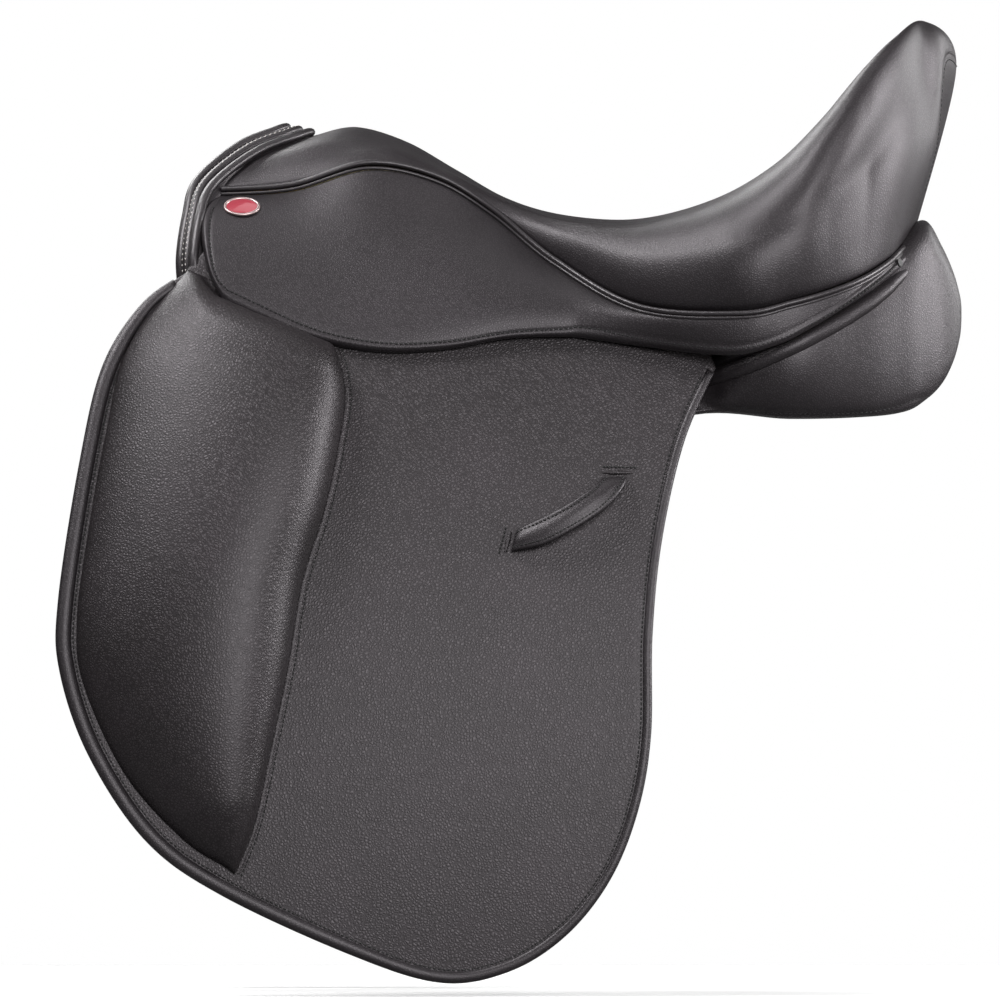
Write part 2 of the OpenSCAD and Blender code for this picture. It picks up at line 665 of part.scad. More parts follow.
// Stirrup bar: plate on the tree bar, one arm through the flap and the round bar, slotted for its catch
bar_z = 84;
bar_front = -128 * grade;
bar_out = out_at(plate_out, bar_z) + bar_gap + bar_d / 2;
arm_width = 12;
plate_length = 78;
plate_low = bar_z - 8;
plate_height = 28;
slot_clear = 0.4;
catch_inset = 6;
catch_x = bar_front + bar_length - catch_inset;
catch_r = 3.6;
// Room on the diameter: the catch on its pin, the pin in the bar, a rivet in its hole
catch_hole_clear = 0.12;
pin_clear = 0.04;
rivet_clear = 0.1;
pin_inset = 0.8;
rivet_length = 14;
rivet_lead = 2;
rivet_spots = [20, 66];
rivet_z = plate_low + 20;
rivet_places = [for (x = rivet_spots) [bar_front + x, rivet_z]];

// A hole square to the tree bar's outside at a place [x, z]
module rivet_hole(p, d) {
    translate([p[0], -out_at(plate_out, p[1]) - rivet_lead, p[1]]) rotate([-90, 0, 0])
        cylinder(h = rivet_length + rivet_lead, d = d);
}

module stirrup_bar(side) {
    slot_width = catch_thickness + slot_clear;
    on_side(side) color("#b9bcc0") difference() {
        union() {
            from_side_layer(plate_in, plate_out)
                translate([bar_front, plate_low]) square([plate_length, plate_height]);
            translate([bar_front, -bar_out, bar_z - bar_d / 2])
                cube([arm_width, bar_out - out_at(plate_in + bar_plate_thickness / 2, bar_z), bar_d]);
            translate([bar_front, -bar_out, bar_z]) rotate([0, 90, 0]) cylinder(h = bar_length, d = bar_d);
        }
        translate([catch_x - catch_r - slot_clear, -bar_out - slot_width / 2, bar_z - bar_d])
            cube([bar_length, slot_width, 2 * bar_d]);
        translate([catch_x, -bar_out, bar_z]) rotate([90, 0, 0])
            cylinder(h = 2 * bar_d, d = catch_pin_d, center = true);
        for (p = rivet_places) rivet_hole(p, rivet_d + rivet_clear);
    }
}

module bar_catch(side) {
    on_side(side) color("#b9bcc0") translate([catch_x, -bar_out, bar_z]) rotate([90, 0, 0])
        linear_extrude(catch_thickness, center = true) difference() {
            union() {
                circle(r = catch_r);
                translate([0, -catch_r]) square([catch_length, 2 * catch_r]);
            }
            circle(d = catch_pin_d + catch_hole_clear);
        }
}

module catch_pin(side) {
    on_side(side) color("#8d9298") translate([catch_x, -bar_out, bar_z]) rotate([90, 0, 0])
        cylinder(h = bar_d - 2 * pin_inset, d = catch_pin_d - pin_clear, center = true);
}

module bar_rivets() {
    for (side = [LEFT, RIGHT], p = rivet_places) on_side(side) color("#8d9298")
        translate([p[0], -out_at(plate_out, p[1]), p[1]]) rotate([-90, 0, 0])
            cylinder(h = rivet_length, d = rivet_d);
}

seat_cover();
cantle_back();
seat_foam();
seat_welt(LEFT);  // seat_welt_left
seat_welt(RIGHT);  // seat_welt_right
front_roll(0);  // front_roll_inner
front_roll(1);  // front_roll_middle
front_roll(2);  // front_roll_outer
tree_head();
tree_rail(LEFT);  // tree_rail_left
tree_rail(RIGHT);  // tree_rail_right
tree_cantle();
tree_bar(LEFT);  // tree_bar_left
tree_bar(RIGHT);  // tree_bar_right
head_plate();
spring_rail(LEFT);  // spring_rail_left
spring_rail(RIGHT);  // spring_rail_right
seat_webs();
panel(LEFT);  // panel_left
panel(RIGHT);  // panel_right
sweat_flap(LEFT);  // sweat_flap_left
sweat_flap(RIGHT);  // sweat_flap_right
skirt_band(LEFT);  // skirt_band_left
skirt_band(RIGHT);  // skirt_band_right
skirt_tail(LEFT);  // skirt_tail_left
skirt_tail(RIGHT);  // skirt_tail_right
skirt_lobe(LEFT);  // skirt_lobe_left
skirt_lobe(RIGHT);  // skirt_lobe_right
badge(LEFT);  // badge_left
badge(RIGHT);  // badge_right
skirt_nails();
flap_hem(LEFT);  // flap_hem_left
flap_hem(RIGHT);  // flap_hem_right
flap(LEFT);  // flap_left
flap(RIGHT);  // flap_right
edge_roll(LEFT);  // edge_roll_left
edge_roll(RIGHT);  // edge_roll_right
knee_block(LEFT);  // knee_block_left
knee_block(RIGHT);  // knee_block_right
keeper(LEFT);  // keeper_left
keeper(RIGHT);  // keeper_right
girth_web(0, LEFT);  // girth_web_front_left
girth_web(1, LEFT);  // girth_web_rear_left
girth_web(0, RIGHT);  // girth_web_front_right
girth_web(1, RIGHT);  // girth_web_rear_right
girth_strap(0, LEFT);  // girth_strap_front_left
girth_strap(1, LEFT);  // girth_strap_rear_left
girth_strap(0, RIGHT);  // girth_strap_front_right
girth_strap(1, RIGHT);  // girth_strap_rear_right
stirrup_bar(LEFT);  // stirrup_bar_left
stirrup_bar(RIGHT);  // stirrup_bar_right
bar_catch(LEFT);  // bar_catch_left
bar_catch(RIGHT);  // bar_catch_right
catch_pin(LEFT);  // catch_pin_left
catch_pin(RIGHT);  // catch_pin_right
bar_rivets();
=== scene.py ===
"""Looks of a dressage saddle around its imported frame.

Sizes are in millimetres until a mesh is made. The left side is drawn, and the right side mirrors it.
"""

import json
import logging
import math
from dataclasses import dataclass
from enum import Enum
from typing import Sequence

import bmesh
import bpy
import numpy as np
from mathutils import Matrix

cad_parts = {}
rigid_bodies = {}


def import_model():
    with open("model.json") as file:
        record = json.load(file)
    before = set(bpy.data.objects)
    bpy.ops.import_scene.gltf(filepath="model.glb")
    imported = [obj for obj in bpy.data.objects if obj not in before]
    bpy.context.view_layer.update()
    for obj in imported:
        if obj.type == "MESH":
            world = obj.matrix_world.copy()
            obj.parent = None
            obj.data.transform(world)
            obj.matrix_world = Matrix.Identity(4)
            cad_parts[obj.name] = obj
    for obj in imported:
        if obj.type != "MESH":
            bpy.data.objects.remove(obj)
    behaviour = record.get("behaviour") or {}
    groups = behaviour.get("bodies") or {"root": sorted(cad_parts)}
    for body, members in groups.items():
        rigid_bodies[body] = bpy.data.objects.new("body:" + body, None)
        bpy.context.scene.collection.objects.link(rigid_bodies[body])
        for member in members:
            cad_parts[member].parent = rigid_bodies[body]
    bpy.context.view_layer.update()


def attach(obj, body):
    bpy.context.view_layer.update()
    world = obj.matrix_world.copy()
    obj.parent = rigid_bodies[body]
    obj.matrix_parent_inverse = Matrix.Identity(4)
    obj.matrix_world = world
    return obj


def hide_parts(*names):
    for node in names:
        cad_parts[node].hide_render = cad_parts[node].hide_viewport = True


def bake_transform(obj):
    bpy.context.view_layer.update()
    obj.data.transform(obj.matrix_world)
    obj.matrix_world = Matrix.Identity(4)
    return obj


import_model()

LOG = logging.getLogger("saddle")
# Metres in a millimetre.
MM = 0.001
# Points of a cut plate that are closer than this, in millimetres, are one.
WELD = 0.001
ROOT = "saddle"
MIRROR = np.array([1, -1, 1])
Points = np.ndarray
Knots = Sequence[Sequence[float]]
Socket = bpy.types.NodeSocket
Inputs = dict[str | int, object]


class Side(Enum):
    """The two sides of the saddle, seen by the rider."""

    LEFT = "left"
    RIGHT = "right"

    def node(self, stem: str) -> str:
        """Name of a frame node on this side."""
        return f"{stem}_{self.value}"

    def body(self, stem: str) -> str:
        """Name of a moving body on this side."""
        return f"{self.value}_{stem}"


class Layer(Enum):
    """Radii of the round side layers, from the horse outwards, as (inner, outer)."""

    SWEAT_FLAP = (1006.4, 1009.4)
    GIRTH_WEB = (1009.7, 1011.7)
    GIRTH_STRAP = (1012.6, 1016.6)
    FLAP = (1019.0, 1024.0)

    @property
    def inner(self) -> float:
        """Radius of the side next to the horse."""
        return self.value[0]

    @property
    def outer(self) -> float:
        """Radius of the side away from the horse."""
        return self.value[1]


# The side layers are round about a line along the saddle, this far below the origin and to its right.
FLAP_DROP = 342.6
LAYER_CENTRE_Y = 834.0
FLAP_FACE = Layer.FLAP.outer


# Curves and surfaces

def at_knots(knots: Knots, place: Points) -> Points:
    """Smooth curve through knots.

    Args:
        knots: points, evenly spaced in the parameter.
        place: parameters, from 0 at the first knot to the last knot's index.
    Returns:
        A point for each parameter.
    """
    k = np.asarray(knots, float)
    last = len(k) - 1
    s = np.clip(np.asarray(place, float), 0, last)
    i = np.minimum(s.astype(int), last - 1)
    t = (s - i)[..., None]
    a, b, c, d = k[np.maximum(i - 1, 0)], k[i], k[i + 1], k[np.minimum(i + 2, last)]
    return 0.5 * (2 * b + (c - a) * t + (2 * a - 5 * b + 4 * c - d) * t ** 2
                  + (3 * b - a - 3 * c + d) * t ** 3)


def along(knots: Knots, share: Points) -> Points:
    """Smooth curve through knots, by the share of the way from the first to the last."""
    return at_knots(knots, np.asarray(share, float) * (len(knots) - 1))


def unit(v: Points) -> Points:
    """Vectors brought to a length of one."""
    return v / np.maximum(np.linalg.norm(v, axis=-1, keepdims=True), 1e-9)


def ease(low: float, high: float, x: Points) -> Points:
    """Smooth step from 0 at low to 1 at high."""
    t = np.clip((np.asarray(x, float) - low) / (high - low), 0, 1)
    return t * t * (3 - 2 * t)


def hump(x: Points, middle: Points, width: Points) -> Points:
    """Smooth hump of height 1."""
    return np.exp(-(((x - middle) / width) ** 2))


def even_path(path: Points, step: float) -> Points:
    """A path with its points a step apart.

    Args:
        path: points along the path.
        step: distance between the new points.
    Returns:
        The new points, with both ends kept.
    """
    far = np.concatenate([[0], np.cumsum(np.linalg.norm(np.diff(path, axis=0), axis=1))])
    count = max(2, int(round(far[-1] / step)) + 1)
    spots = np.linspace(0, far[-1], count)
    return np.stack([np.interp(spots, far, path[:, k]) for k in range(path.shape[1])], axis=1)


def grid_normals(grid: Points) -> Points:
    """Normals of a grid of points, out of the face that its rows and columns turn round.

    Args:
        grid: the points, in rows and columns.
    Returns:
        A unit normal for each point.
    """
    rows = np.gradient(grid, axis=0)
    cols = np.gradient(grid, axis=1)
    return unit(np.cross(rows, cols))


def between(first: Points, last: Points, share: Points) -> Points:
    """Grid of points from a first to a last line, by the share of the way across."""
    return first[:, None] + share[None, :, None] * (last - first)[:, None]


def hinge_band(first: Points, last: Points, above: float, below: float) -> tuple[Points, Points]:
    """Points between which a sheet bends round a hinge line.

    Args:
        first: one end of the line.
        last: its other end.
        above: how far above the line the bend starts.
        below: how far below the line it ends.
    Returns:
        The point above the line's middle and the point below it.
    """
    middle, run = (first + last) / 2, unit(last - first)
    down = unit(np.array([0, 0, -1]) + run * run[2])
    return middle - down * above, middle + down * below


def layer_point(flat: Points, r: Points) -> Points:
    """Points of a round side layer on the left.

    Args:
        flat: (along, height) places.
        r: radii of the layer.
    Returns:
        Points in space.
    """
    x, z, r = np.broadcast_arrays(flat[..., 0], flat[..., 1], r)
    y = LAYER_CENTRE_Y - np.sqrt(r ** 2 - (z + FLAP_DROP) ** 2)
    return np.stack([x, y, z], axis=-1)


def layer_normal(z: Points) -> Points:
    """Outward normals of the flap's outer face on the left, at heights."""
    rise = (np.asarray(z, float) + FLAP_DROP) / FLAP_FACE
    return np.stack([np.zeros_like(rise), -np.sqrt(1 - rise ** 2), rise], axis=-1)


def inward(path: Points) -> Points:
    """Normals in the plane of a flat path, to the right of its direction."""
    run = unit(np.gradient(path, axis=0))
    return np.stack([run[:, 1], -run[:, 0]], axis=1)


# Shells

@dataclass
class Shell:
    """Points in millimetres and faces of a piece."""

    points: Points
    faces: list[tuple[int, ...]]

    def mirrored(self) -> "Shell":
        """The same shell on the other side of the saddle."""
        return Shell(self.points * MIRROR, [tuple(reversed(f)) for f in self.faces])

    @staticmethod
    def joined(shells: Sequence["Shell"]) -> "Shell":
        """Several shells as one.

        Args:
            shells: the shells.
        Returns:
            The joined shell.
        """
        points, faces, start = [], [], 0
        for shell in shells:
            points.append(shell.points)
            faces += [tuple(i + start for i in f) for f in shell.faces]
            start += len(shell.points)
        return Shell(np.concatenate(points), faces)


def slab(outer: Points, inner: Points) -> Shell:
    """Closed shell between two grids of points.

    Args:
        outer: grid whose rows and columns turn round its outside.
        inner: grid of the same size behind it.
    Returns:
        The shell.
    """
    rows, cols = outer.shape[:2]
    n = rows * cols
    ids = np.arange(n).reshape(rows, cols)
    quads = [(ids[i, j], ids[i + 1, j], ids[i + 1, j + 1], ids[i, j + 1])
             for i in range(rows - 1) for j in range(cols - 1)]
    rim = [*ids[0, :-1], *ids[:-1, -1], *ids[-1, :0:-1], *ids[:0:-1, 0]]
    faces = quads + [tuple(i + n for i in reversed(q)) for q in quads]
    faces += [(a, b, b + n, a + n) for a, b in zip(rim, rim[1:] + rim[:1])]
    return Shell(np.concatenate([outer.reshape(-1, 3), inner.reshape(-1, 3)]), faces)


def loft(rings: Points) -> Shell:
    """Closed shell through rings of points, with both ends capped.

    Args:
        rings: the rings, first to last.
    Returns:
        The shell.
    """
    count, sides = rings.shape[:2]
    ids = np.arange(count * sides).reshape(count, sides)
    faces = [(ids[i, j], ids[i, (j + 1) % sides], ids[i + 1, (j + 1) % sides], ids[i + 1, j])
             for i in range(count - 1) for j in range(sides)]
    faces += [tuple(ids[0, ::-1]), tuple(ids[-1])]
    return Shell(rings.reshape(-1, 3), faces)


def sweep(path: Points, normals: Points, section: Points) -> Shell:
    """Shell of a section drawn along a path.

    Args:
        path: points along the way.
        normals: the section's up direction at each point.
        section: (sideways, up) points, one ring for all points or one ring for each.
    Returns:
        The shell, with its ends closed.
    """
    run = unit(np.gradient(path, axis=0))
    across = unit(np.cross(run, normals))
    up = np.cross(across, run)
    rings = np.broadcast_to(section, (len(path), *section.shape[-2:]))
    return loft(path[:, None] + rings[..., :1] * across[:, None] + rings[..., 1:] * up[:, None])


def oval(wide: float, high: float, sides: int = 12) -> Points:
    """Section of a round or flattened cord, of half sizes wide and high."""
    turn = np.linspace(0, 2 * math.pi, sides, endpoint=False)
    return np.stack([wide * np.cos(turn), high * np.sin(turn)], axis=1)


@dataclass(frozen=True)
class Stitch:
    """A row of lock stitches: the pitch, and one stitch's length, width and height."""

    pitch: float = 3.0
    length: float = 2.3
    width: float = 1.0
    height: float = 0.7

    # One stitch from end to end, by shares of half its length, of its thickness and of its height.
    SHARES = np.array([-1, -0.8, 0, 0.8, 1])
    THICKNESS = np.array([0.35, 0.85, 1, 0.85, 0.35])
    RISE = np.array([-0.5, -0.15, 0.15, -0.15, -0.5])

    def row(self, path: Points, normals: Points) -> Shell:
        """Stitches along a path.

        Args:
            path: points along the row.
            normals: the surface's normals at them.
        Returns:
            One shell with every stitch.
        """
        both = even_path(np.concatenate([path, normals], axis=1), self.pitch)
        spots, up = both[:, :3], unit(both[:, 3:])
        run = unit(np.gradient(spots, axis=0))
        across = unit(np.cross(run, up))
        ring = oval(self.width / 2, self.height / 2, 6)
        shells = []
        for p, t, a, n in zip(spots, run, across, up):
            middle = p + np.outer(self.SHARES * self.length / 2, t) + np.outer(self.RISE * self.height, n)
            rim = self.THICKNESS[:, None, None] * (ring[:, :1] * a + ring[:, 1:] * n)
            shells.append(loft(middle[:, None] + rim))
        return Shell.joined(shells)

    def on_layer(self, flat: Points, r: float) -> Shell:
        """Stitches along a flat line on a round side layer of a radius."""
        return self.row(layer_point(flat, r), layer_normal(flat[:, 1]))


def flat_plate(outline: Points, holes: Sequence[Points], thickness: float, rounding: float) -> bpy.types.Mesh:
    """A flat plate cut to an outline, with rounded edges.

    Args:
        outline: closed outline of (along, height) points.
        holes: closed outlines of its holes.
        thickness: its thickness.
        rounding: radius of its edges.
    Returns:
        The plate's mesh, in millimetres.
    """
    curve = bpy.data.curves.new("cut", "CURVE")
    curve.dimensions = "2D"
    curve.fill_mode = "BOTH"
    curve.extrude = thickness / 2 - rounding
    curve.bevel_depth = rounding
    curve.bevel_resolution = 2
    for ring, grow in [(outline, -1)] + [(hole, 1) for hole in holes]:
        spline = curve.splines.new("POLY")
        closed = np.concatenate([ring[-1:], ring, ring[:1]])
        away = inward(closed)[1:-1]
        turn = np.sign(np.sum(ring[:, 0] * np.roll(ring[:, 1], -1) - np.roll(ring[:, 0], -1) * ring[:, 1]))
        moved = ring + away * turn * grow * rounding
        spline.points.add(len(ring) - 1)
        flat = np.column_stack([moved, np.zeros(len(ring)), np.ones(len(ring))])
        spline.points.foreach_set("co", flat.astype(np.float32).ravel())
        spline.use_cyclic_u = True
    pattern = bpy.data.objects.new("cut", curve)
    bpy.context.scene.collection.objects.link(pattern)
    bpy.context.view_layer.update()
    cut = bpy.data.meshes.new_from_object(pattern.evaluated_get(bpy.context.evaluated_depsgraph_get()))
    bpy.data.objects.remove(pattern)
    bpy.data.curves.remove(curve)
    return cut


def cut_plate(outline: Points, holes: Sequence[Points], layer: Layer, rounding: float, pitch: float) -> Shell:
    """A plate of leather or web cut to an outline, with rounded edges, bent round a side layer.

    Args:
        outline: flat closed outline of (along, height) points.
        holes: flat closed outlines of its holes.
        layer: the side layer that it fills.
        rounding: radius of its edges.
        pitch: greatest size of its faces.
    Returns:
        The bent shell on the left side.
    """
    cut = flat_plate(outline, holes, layer.outer - layer.inner, rounding)
    work = bmesh.new()
    work.from_mesh(cut)
    bpy.data.meshes.remove(cut)
    bmesh.ops.remove_doubles(work, verts=work.verts[:], dist=WELD)
    for axis in (0, 1):
        low, high = outline[:, axis].min(), outline[:, axis].max()
        normal = [1.0 if k == axis else 0.0 for k in range(3)]
        for spot in np.arange(low + pitch / 2, high, pitch):
            place = [spot if k == axis else 0.0 for k in range(3)]
            every = work.verts[:] + work.edges[:] + work.faces[:]
            bmesh.ops.bisect_plane(work, geom=every, dist=WELD, plane_co=place, plane_no=normal)
    bmesh.ops.recalc_face_normals(work, faces=work.faces[:])
    flat = np.array([v.co for v in work.verts])
    faces = [tuple(v.index for v in reversed(f.verts)) for f in work.faces]
    work.free()
    middle = (layer.inner + layer.outer) / 2
    return Shell(layer_point(flat, middle + flat[:, 2]), faces)


# Finishes

def linear(code: str) -> tuple[float, float, float, float]:
    """Linear colour of an sRGB hex code such as #3a3739."""
    shares = [int(code[k:k + 2], 16) / 255 for k in (1, 3, 5)]
    return (*[c / 12.92 if c <= 0.04045 else ((c + 0.055) / 1.055) ** 2.4 for c in shares], 1.0)


class Graph:
    """Shader nodes of one material or world."""

    def __init__(self, tree: bpy.types.NodeTree) -> None:
        """Takes over a node tree."""
        self.tree = tree

    def feed(self, node: bpy.types.Node, inputs: Inputs) -> None:
        """Sets a node's inputs.

        Args:
            node: the node.
            inputs: for each input's name or index, the output that feeds it or its value.
        """
        for key, value in inputs.items():
            if isinstance(value, Socket):
                self.tree.links.new(value, node.inputs[key])
            else:
                node.inputs[key].default_value = value

    def add(self, kind: str, inputs: Inputs, out: str | int = 0, **settings: object) -> Socket:
        """Adds a node.

        Args:
            kind: its type, without the common prefix.
            inputs: for each input's name or index, the output that feeds it or its value.
            out: name or index of the output that is used.
            settings: its own properties.
        Returns:
            That output.
        """
        node = self.tree.nodes.new("ShaderNode" + kind)
        for key, value in settings.items():
            setattr(node, key, value)
        self.feed(node, inputs)
        return node.outputs[out]

    def place(self) -> Socket:
        """Places on the piece, in metres."""
        return self.add("TexCoord", {}, "Object")

    def noise(self, place: Socket, size: float, out: str = "Fac", **inputs: float) -> Socket:
        """Soft noise with patches of a size in millimetres."""
        return self.add("TexNoise", {"Vector": place, "Scale": 1 / (size * MM), **inputs}, out)

    def mix(self, share: object, first: object, second: object, kind: str = "MIX") -> Socket:
        """Two colours mixed by a share."""
        return self.add("MixRGB", {"Fac": share, "Color1": first, "Color2": second}, blend_type=kind)

    def bump(self, height: Socket, depth: float, **settings: object) -> Socket:
        """Normals of a relief with a depth in millimetres."""
        return self.add("Bump", {"Height": height, "Distance": depth * MM}, **settings)


@dataclass(frozen=True)
class Finish:
    """A surface finish: its name, the frame's material slot, its sRGB colour and its roughness."""

    name: str
    slot: str
    colour: str
    roughness: float

    def paint(self, g: Graph, shader: bpy.types.Node) -> None:
        """Adds the finish's own pattern to a shader."""

    def material(self) -> bpy.types.Material:
        """The finish's material, made once.

        Returns:
            The material.
        """
        if self.name in bpy.data.materials:
            return bpy.data.materials[self.name]
        made = bpy.data.materials.new(self.name)
        made.use_nodes = True
        g = Graph(made.node_tree)
        shader = made.node_tree.nodes["Principled BSDF"]
        g.feed(shader, {"Base Color": linear(self.colour), "Roughness": self.roughness})
        self.paint(g, shader)
        return made


@dataclass(frozen=True)
class Leather(Finish):
    """Chrome-tanned cowhide, drum-dyed and waxed.

    The wax gives broad soft highlights, and the grain breaks them into pebbles.
    """

    rubbed: str
    grain: float = 1.6
    depth: float = 0.05
    # Painted shade: the tone left in the creases between pebbles, as a share of the full tone.
    crease_shade: float = 0.75
    wax: float = 0.1

    # Sizes in millimetres. Hair pores are 0.2 mm wide, and are drawn coarser to stay visible.
    PORE_SIZE = 0.8
    HIDE_PATCH = 55.0
    # The pebbles' outlines wander over a few pebbles by about the size of one.
    SWAY_GRAINS = 5.0
    SWAY_REACH = 1.4
    PEBBLE_SLOPE = 0.42
    CREASE_SHADE_SLOPE = 0.5
    PORE_SHARE = 0.45
    PORE_RANGE = (0.3, 0.7)
    RUBBED_RANGE = (0.42, 0.68)
    SMOOTHER = 0.05
    DULLER = 0.07
    IOR = 1.5
    SHINE = 0.5
    WAX_ROUGHNESS = 0.35
    # The wax gives the shine a trace of lilac.
    SHINE_TINT = (1.0, 0.93, 0.98, 1.0)

    def paint(self, g: Graph, shader: bpy.types.Node) -> None:
        """Adds pebbles, pores and the hide's slow change of tone, with painted shade in the creases between
        the pebbles.

        Args:
            g: the material's nodes.
            shader: its surface shader.
        """
        place = g.place()
        sway = g.noise(place, self.SWAY_GRAINS * self.grain, "Color", Detail=2.0)
        reach = self.SWAY_REACH * self.grain * MM
        bent = g.add("VectorMath", {0: sway, 1: (reach,) * 3, 2: place}, operation="MULTIPLY_ADD")
        cells = g.add("TexVoronoi", {"Vector": bent, "Scale": 1 / (self.grain * MM)}, "Distance",
                      feature="DISTANCE_TO_EDGE")
        pebble = g.add("MapRange", {"Value": cells, "From Max": self.PEBBLE_SLOPE},
                       interpolation_type="SMOOTHSTEP")
        pores = g.noise(place, self.PORE_SIZE, Detail=3.0, Roughness=0.6)
        height = g.add("Math", {0: pores, 1: self.PORE_SHARE, 2: pebble}, operation="MULTIPLY_ADD")
        patch = g.noise(place, self.HIDE_PATCH, Detail=4.0)
        worn = g.add("MapRange", {"Value": patch, "From Min": self.RUBBED_RANGE[0],
                                  "From Max": self.RUBBED_RANGE[1]})
        tone = g.mix(worn, linear(self.colour), linear(self.rubbed))
        # Painted shade: the creases between pebbles get a darker base colour and a weaker reflection.
        crease_shade = g.add("MapRange", {"Value": pebble, "From Max": self.CREASE_SHADE_SLOPE, "To Min": self.crease_shade,
                                    "To Max": 1.0})
        shine = g.add("Math", {0: crease_shade, 1: self.SHINE}, operation="MULTIPLY")
        rough = g.add("MapRange", {"Value": pores, "From Min": self.PORE_RANGE[0],
                                   "From Max": self.PORE_RANGE[1], "To Min": self.roughness - self.SMOOTHER,
                                   "To Max": self.roughness + self.DULLER})
        g.feed(shader, {"Base Color": g.mix(1.0, tone, crease_shade, "MULTIPLY"), "Roughness": rough,
                        "Normal": g.bump(height, self.depth), "IOR": self.IOR, "Specular IOR Level": shine,
                        "Specular Tint": self.SHINE_TINT, "Coat Weight": self.wax,
                        "Coat Roughness": self.WAX_ROUGHNESS})


@dataclass(frozen=True)
class Woven(Finish):
    """Woven polyester or cotton yarn. The weave gives a dull, ribbed face."""

    yarn: float = 1.2
    depth: float = 0.25
    # Colour painted on the tops of the ribs as light; the hollows keep the darker colour as painted shade.
    light: str = "#5a5652"
    sheen: float = 0.15

    IOR = 1.53
    # Length of one period at a scale of 1, of bands along an axis and of slanted ones.
    BAND_PERIOD = 2 * math.pi / 20
    SLANT_PERIOD = 2 * math.pi / 10

    def paint(self, g: Graph, shader: bpy.types.Node) -> None:
        """Adds the ribs of the weave, with painted light on their tops and painted shade in the hollows
        between them.

        Args:
            g: the material's nodes.
            shader: its surface shader.
        """
        place = g.place()
        warp = g.add("TexWave", {"Vector": place, "Scale": self.BAND_PERIOD / (self.yarn * MM)}, "Fac",
                     bands_direction="X")
        slant = g.add("TexWave", {"Vector": place, "Scale": self.SLANT_PERIOD / (2 * self.yarn * MM)}, "Fac",
                      bands_direction="DIAGONAL")
        rib = g.add("Math", {0: warp, 1: slant}, operation="MULTIPLY")
        # Painted light and shade: paler on the ribs' tops, darker in the hollows.
        tone = g.mix(rib, linear(self.colour), linear(self.light))
        g.feed(shader, {"Base Color": tone, "Normal": g.bump(rib, self.depth), "IOR": self.IOR,
                        "Sheen Weight": self.sheen})


@dataclass(frozen=True)
class Foam(Finish):
    """Cut latex foam. Open cells give a dull, pitted face."""

    cell: float = 1.5
    depth: float = 0.4

    # Painted shade: the tone at the middle of each pit.
    PIT_SHADE = 0.7

    def paint(self, g: Graph, shader: bpy.types.Node) -> None:
        """Adds the cut cells, painted darker towards their middles as shade in the pits.

        Args:
            g: the material's nodes.
            shader: its surface shader.
        """
        cells = g.add("TexVoronoi", {"Vector": g.place(), "Scale": 1 / (self.cell * MM)}, "Distance")
        # Painted shade: the cells get darker towards their middles, the pits.
        dark = g.add("MapRange", {"Value": cells, "To Min": self.PIT_SHADE, "To Max": 1.0})
        g.feed(shader, {"Base Color": g.mix(1.0, linear(self.colour), dark, "MULTIPLY"),
                        "Normal": g.bump(cells, self.depth, invert=True)})


@dataclass(frozen=True)
class Grained(Finish):
    """A streaked hard material: sanded wood, or rolled and brushed metal."""

    streak_colour: str = "#b08a5c"
    streak: float = 2.0
    metallic: float = 0.0
    depth: float = 0.03

    STRETCH = 18.0
    STREAK_RANGE = (0.35, 0.65)

    def paint(self, g: Graph, shader: bpy.types.Node) -> None:
        """Adds streaks along the saddle.

        Args:
            g: the material's nodes.
            shader: its surface shader.
        """
        fine = 1 / (self.streak * MM)
        scale = (fine / self.STRETCH, fine, fine)
        drawn = g.add("VectorMath", {0: g.place(), 1: scale}, operation="MULTIPLY")
        lines = g.add("TexNoise", {"Vector": drawn, "Scale": 1.0, "Detail": 4.0}, "Fac")
        clear = g.add("MapRange", {"Value": lines, "From Min": self.STREAK_RANGE[0],
                                   "From Max": self.STREAK_RANGE[1]})
        tone = g.mix(clear, linear(self.colour), linear(self.streak_colour))
        g.feed(shader, {"Base Color": tone, "Normal": g.bump(lines, self.depth), "Metallic": self.metallic})


@dataclass(frozen=True)
class Enamel(Finish):
    """Fired glass enamel. A clear hard layer gives small sharp highlights over a deep colour."""

    cloud: str = "#8e2f3a"

    CLOUD_SIZE = 3.0
    IOR = 1.52
    GLASS_ROUGHNESS = 0.05

    def paint(self, g: Graph, shader: bpy.types.Node) -> None:
        """Adds faint clouds in the glass.

        Args:
            g: the material's nodes.
            shader: its surface shader.
        """
        mist = g.noise(g.place(), self.CLOUD_SIZE)
        tone = g.mix(mist, linear(self.colour), linear(self.cloud))
        g.feed(shader, {"Base Color": tone, "IOR": self.IOR, "Coat Weight": 1.0,
                        "Coat Roughness": self.GLASS_ROUGHNESS})


@dataclass(frozen=True)
class Paper(Finish):
    """Matt studio paper. It looks white in the strong light, but throws little of it under the saddle."""

    thrown: float = 0.12
    glow: float = 0.26
    fibre: float = 6.0

    FIBRE_TONE = 0.97

    def paint(self, g: Graph, shader: bpy.types.Node) -> None:
        """Adds faint fibres, and a paler face for the eye than for other light.

        Args:
            g: the material's nodes.
            shader: its surface shader.
        """
        mist = g.noise(g.place(), self.fibre)
        pale = g.add("MapRange", {"Value": mist, "To Min": self.FIBRE_TONE, "To Max": 1.0})
        seen = g.add("LightPath", {}, "Is Camera Ray")
        white = g.mix(1.0, linear(self.colour), pale, "MULTIPLY")
        tone = g.mix(seen, (self.thrown,) * 3 + (1.0,), white)
        glow = g.add("Math", {0: seen, 1: self.glow}, operation="MULTIPLY")
        g.feed(shader, {"Base Color": tone, "Emission Color": (1, 1, 1, 1), "Emission Strength": glow})


# Plated smooth calf: satin, with a fine grain.
SMOOTH = Leather("drum_dyed_smooth_calf", "smooth_leather", "#191618", 0.46, rubbed="#1f1c1e", grain=1.5,
                 depth=0.07, wax=0.06)
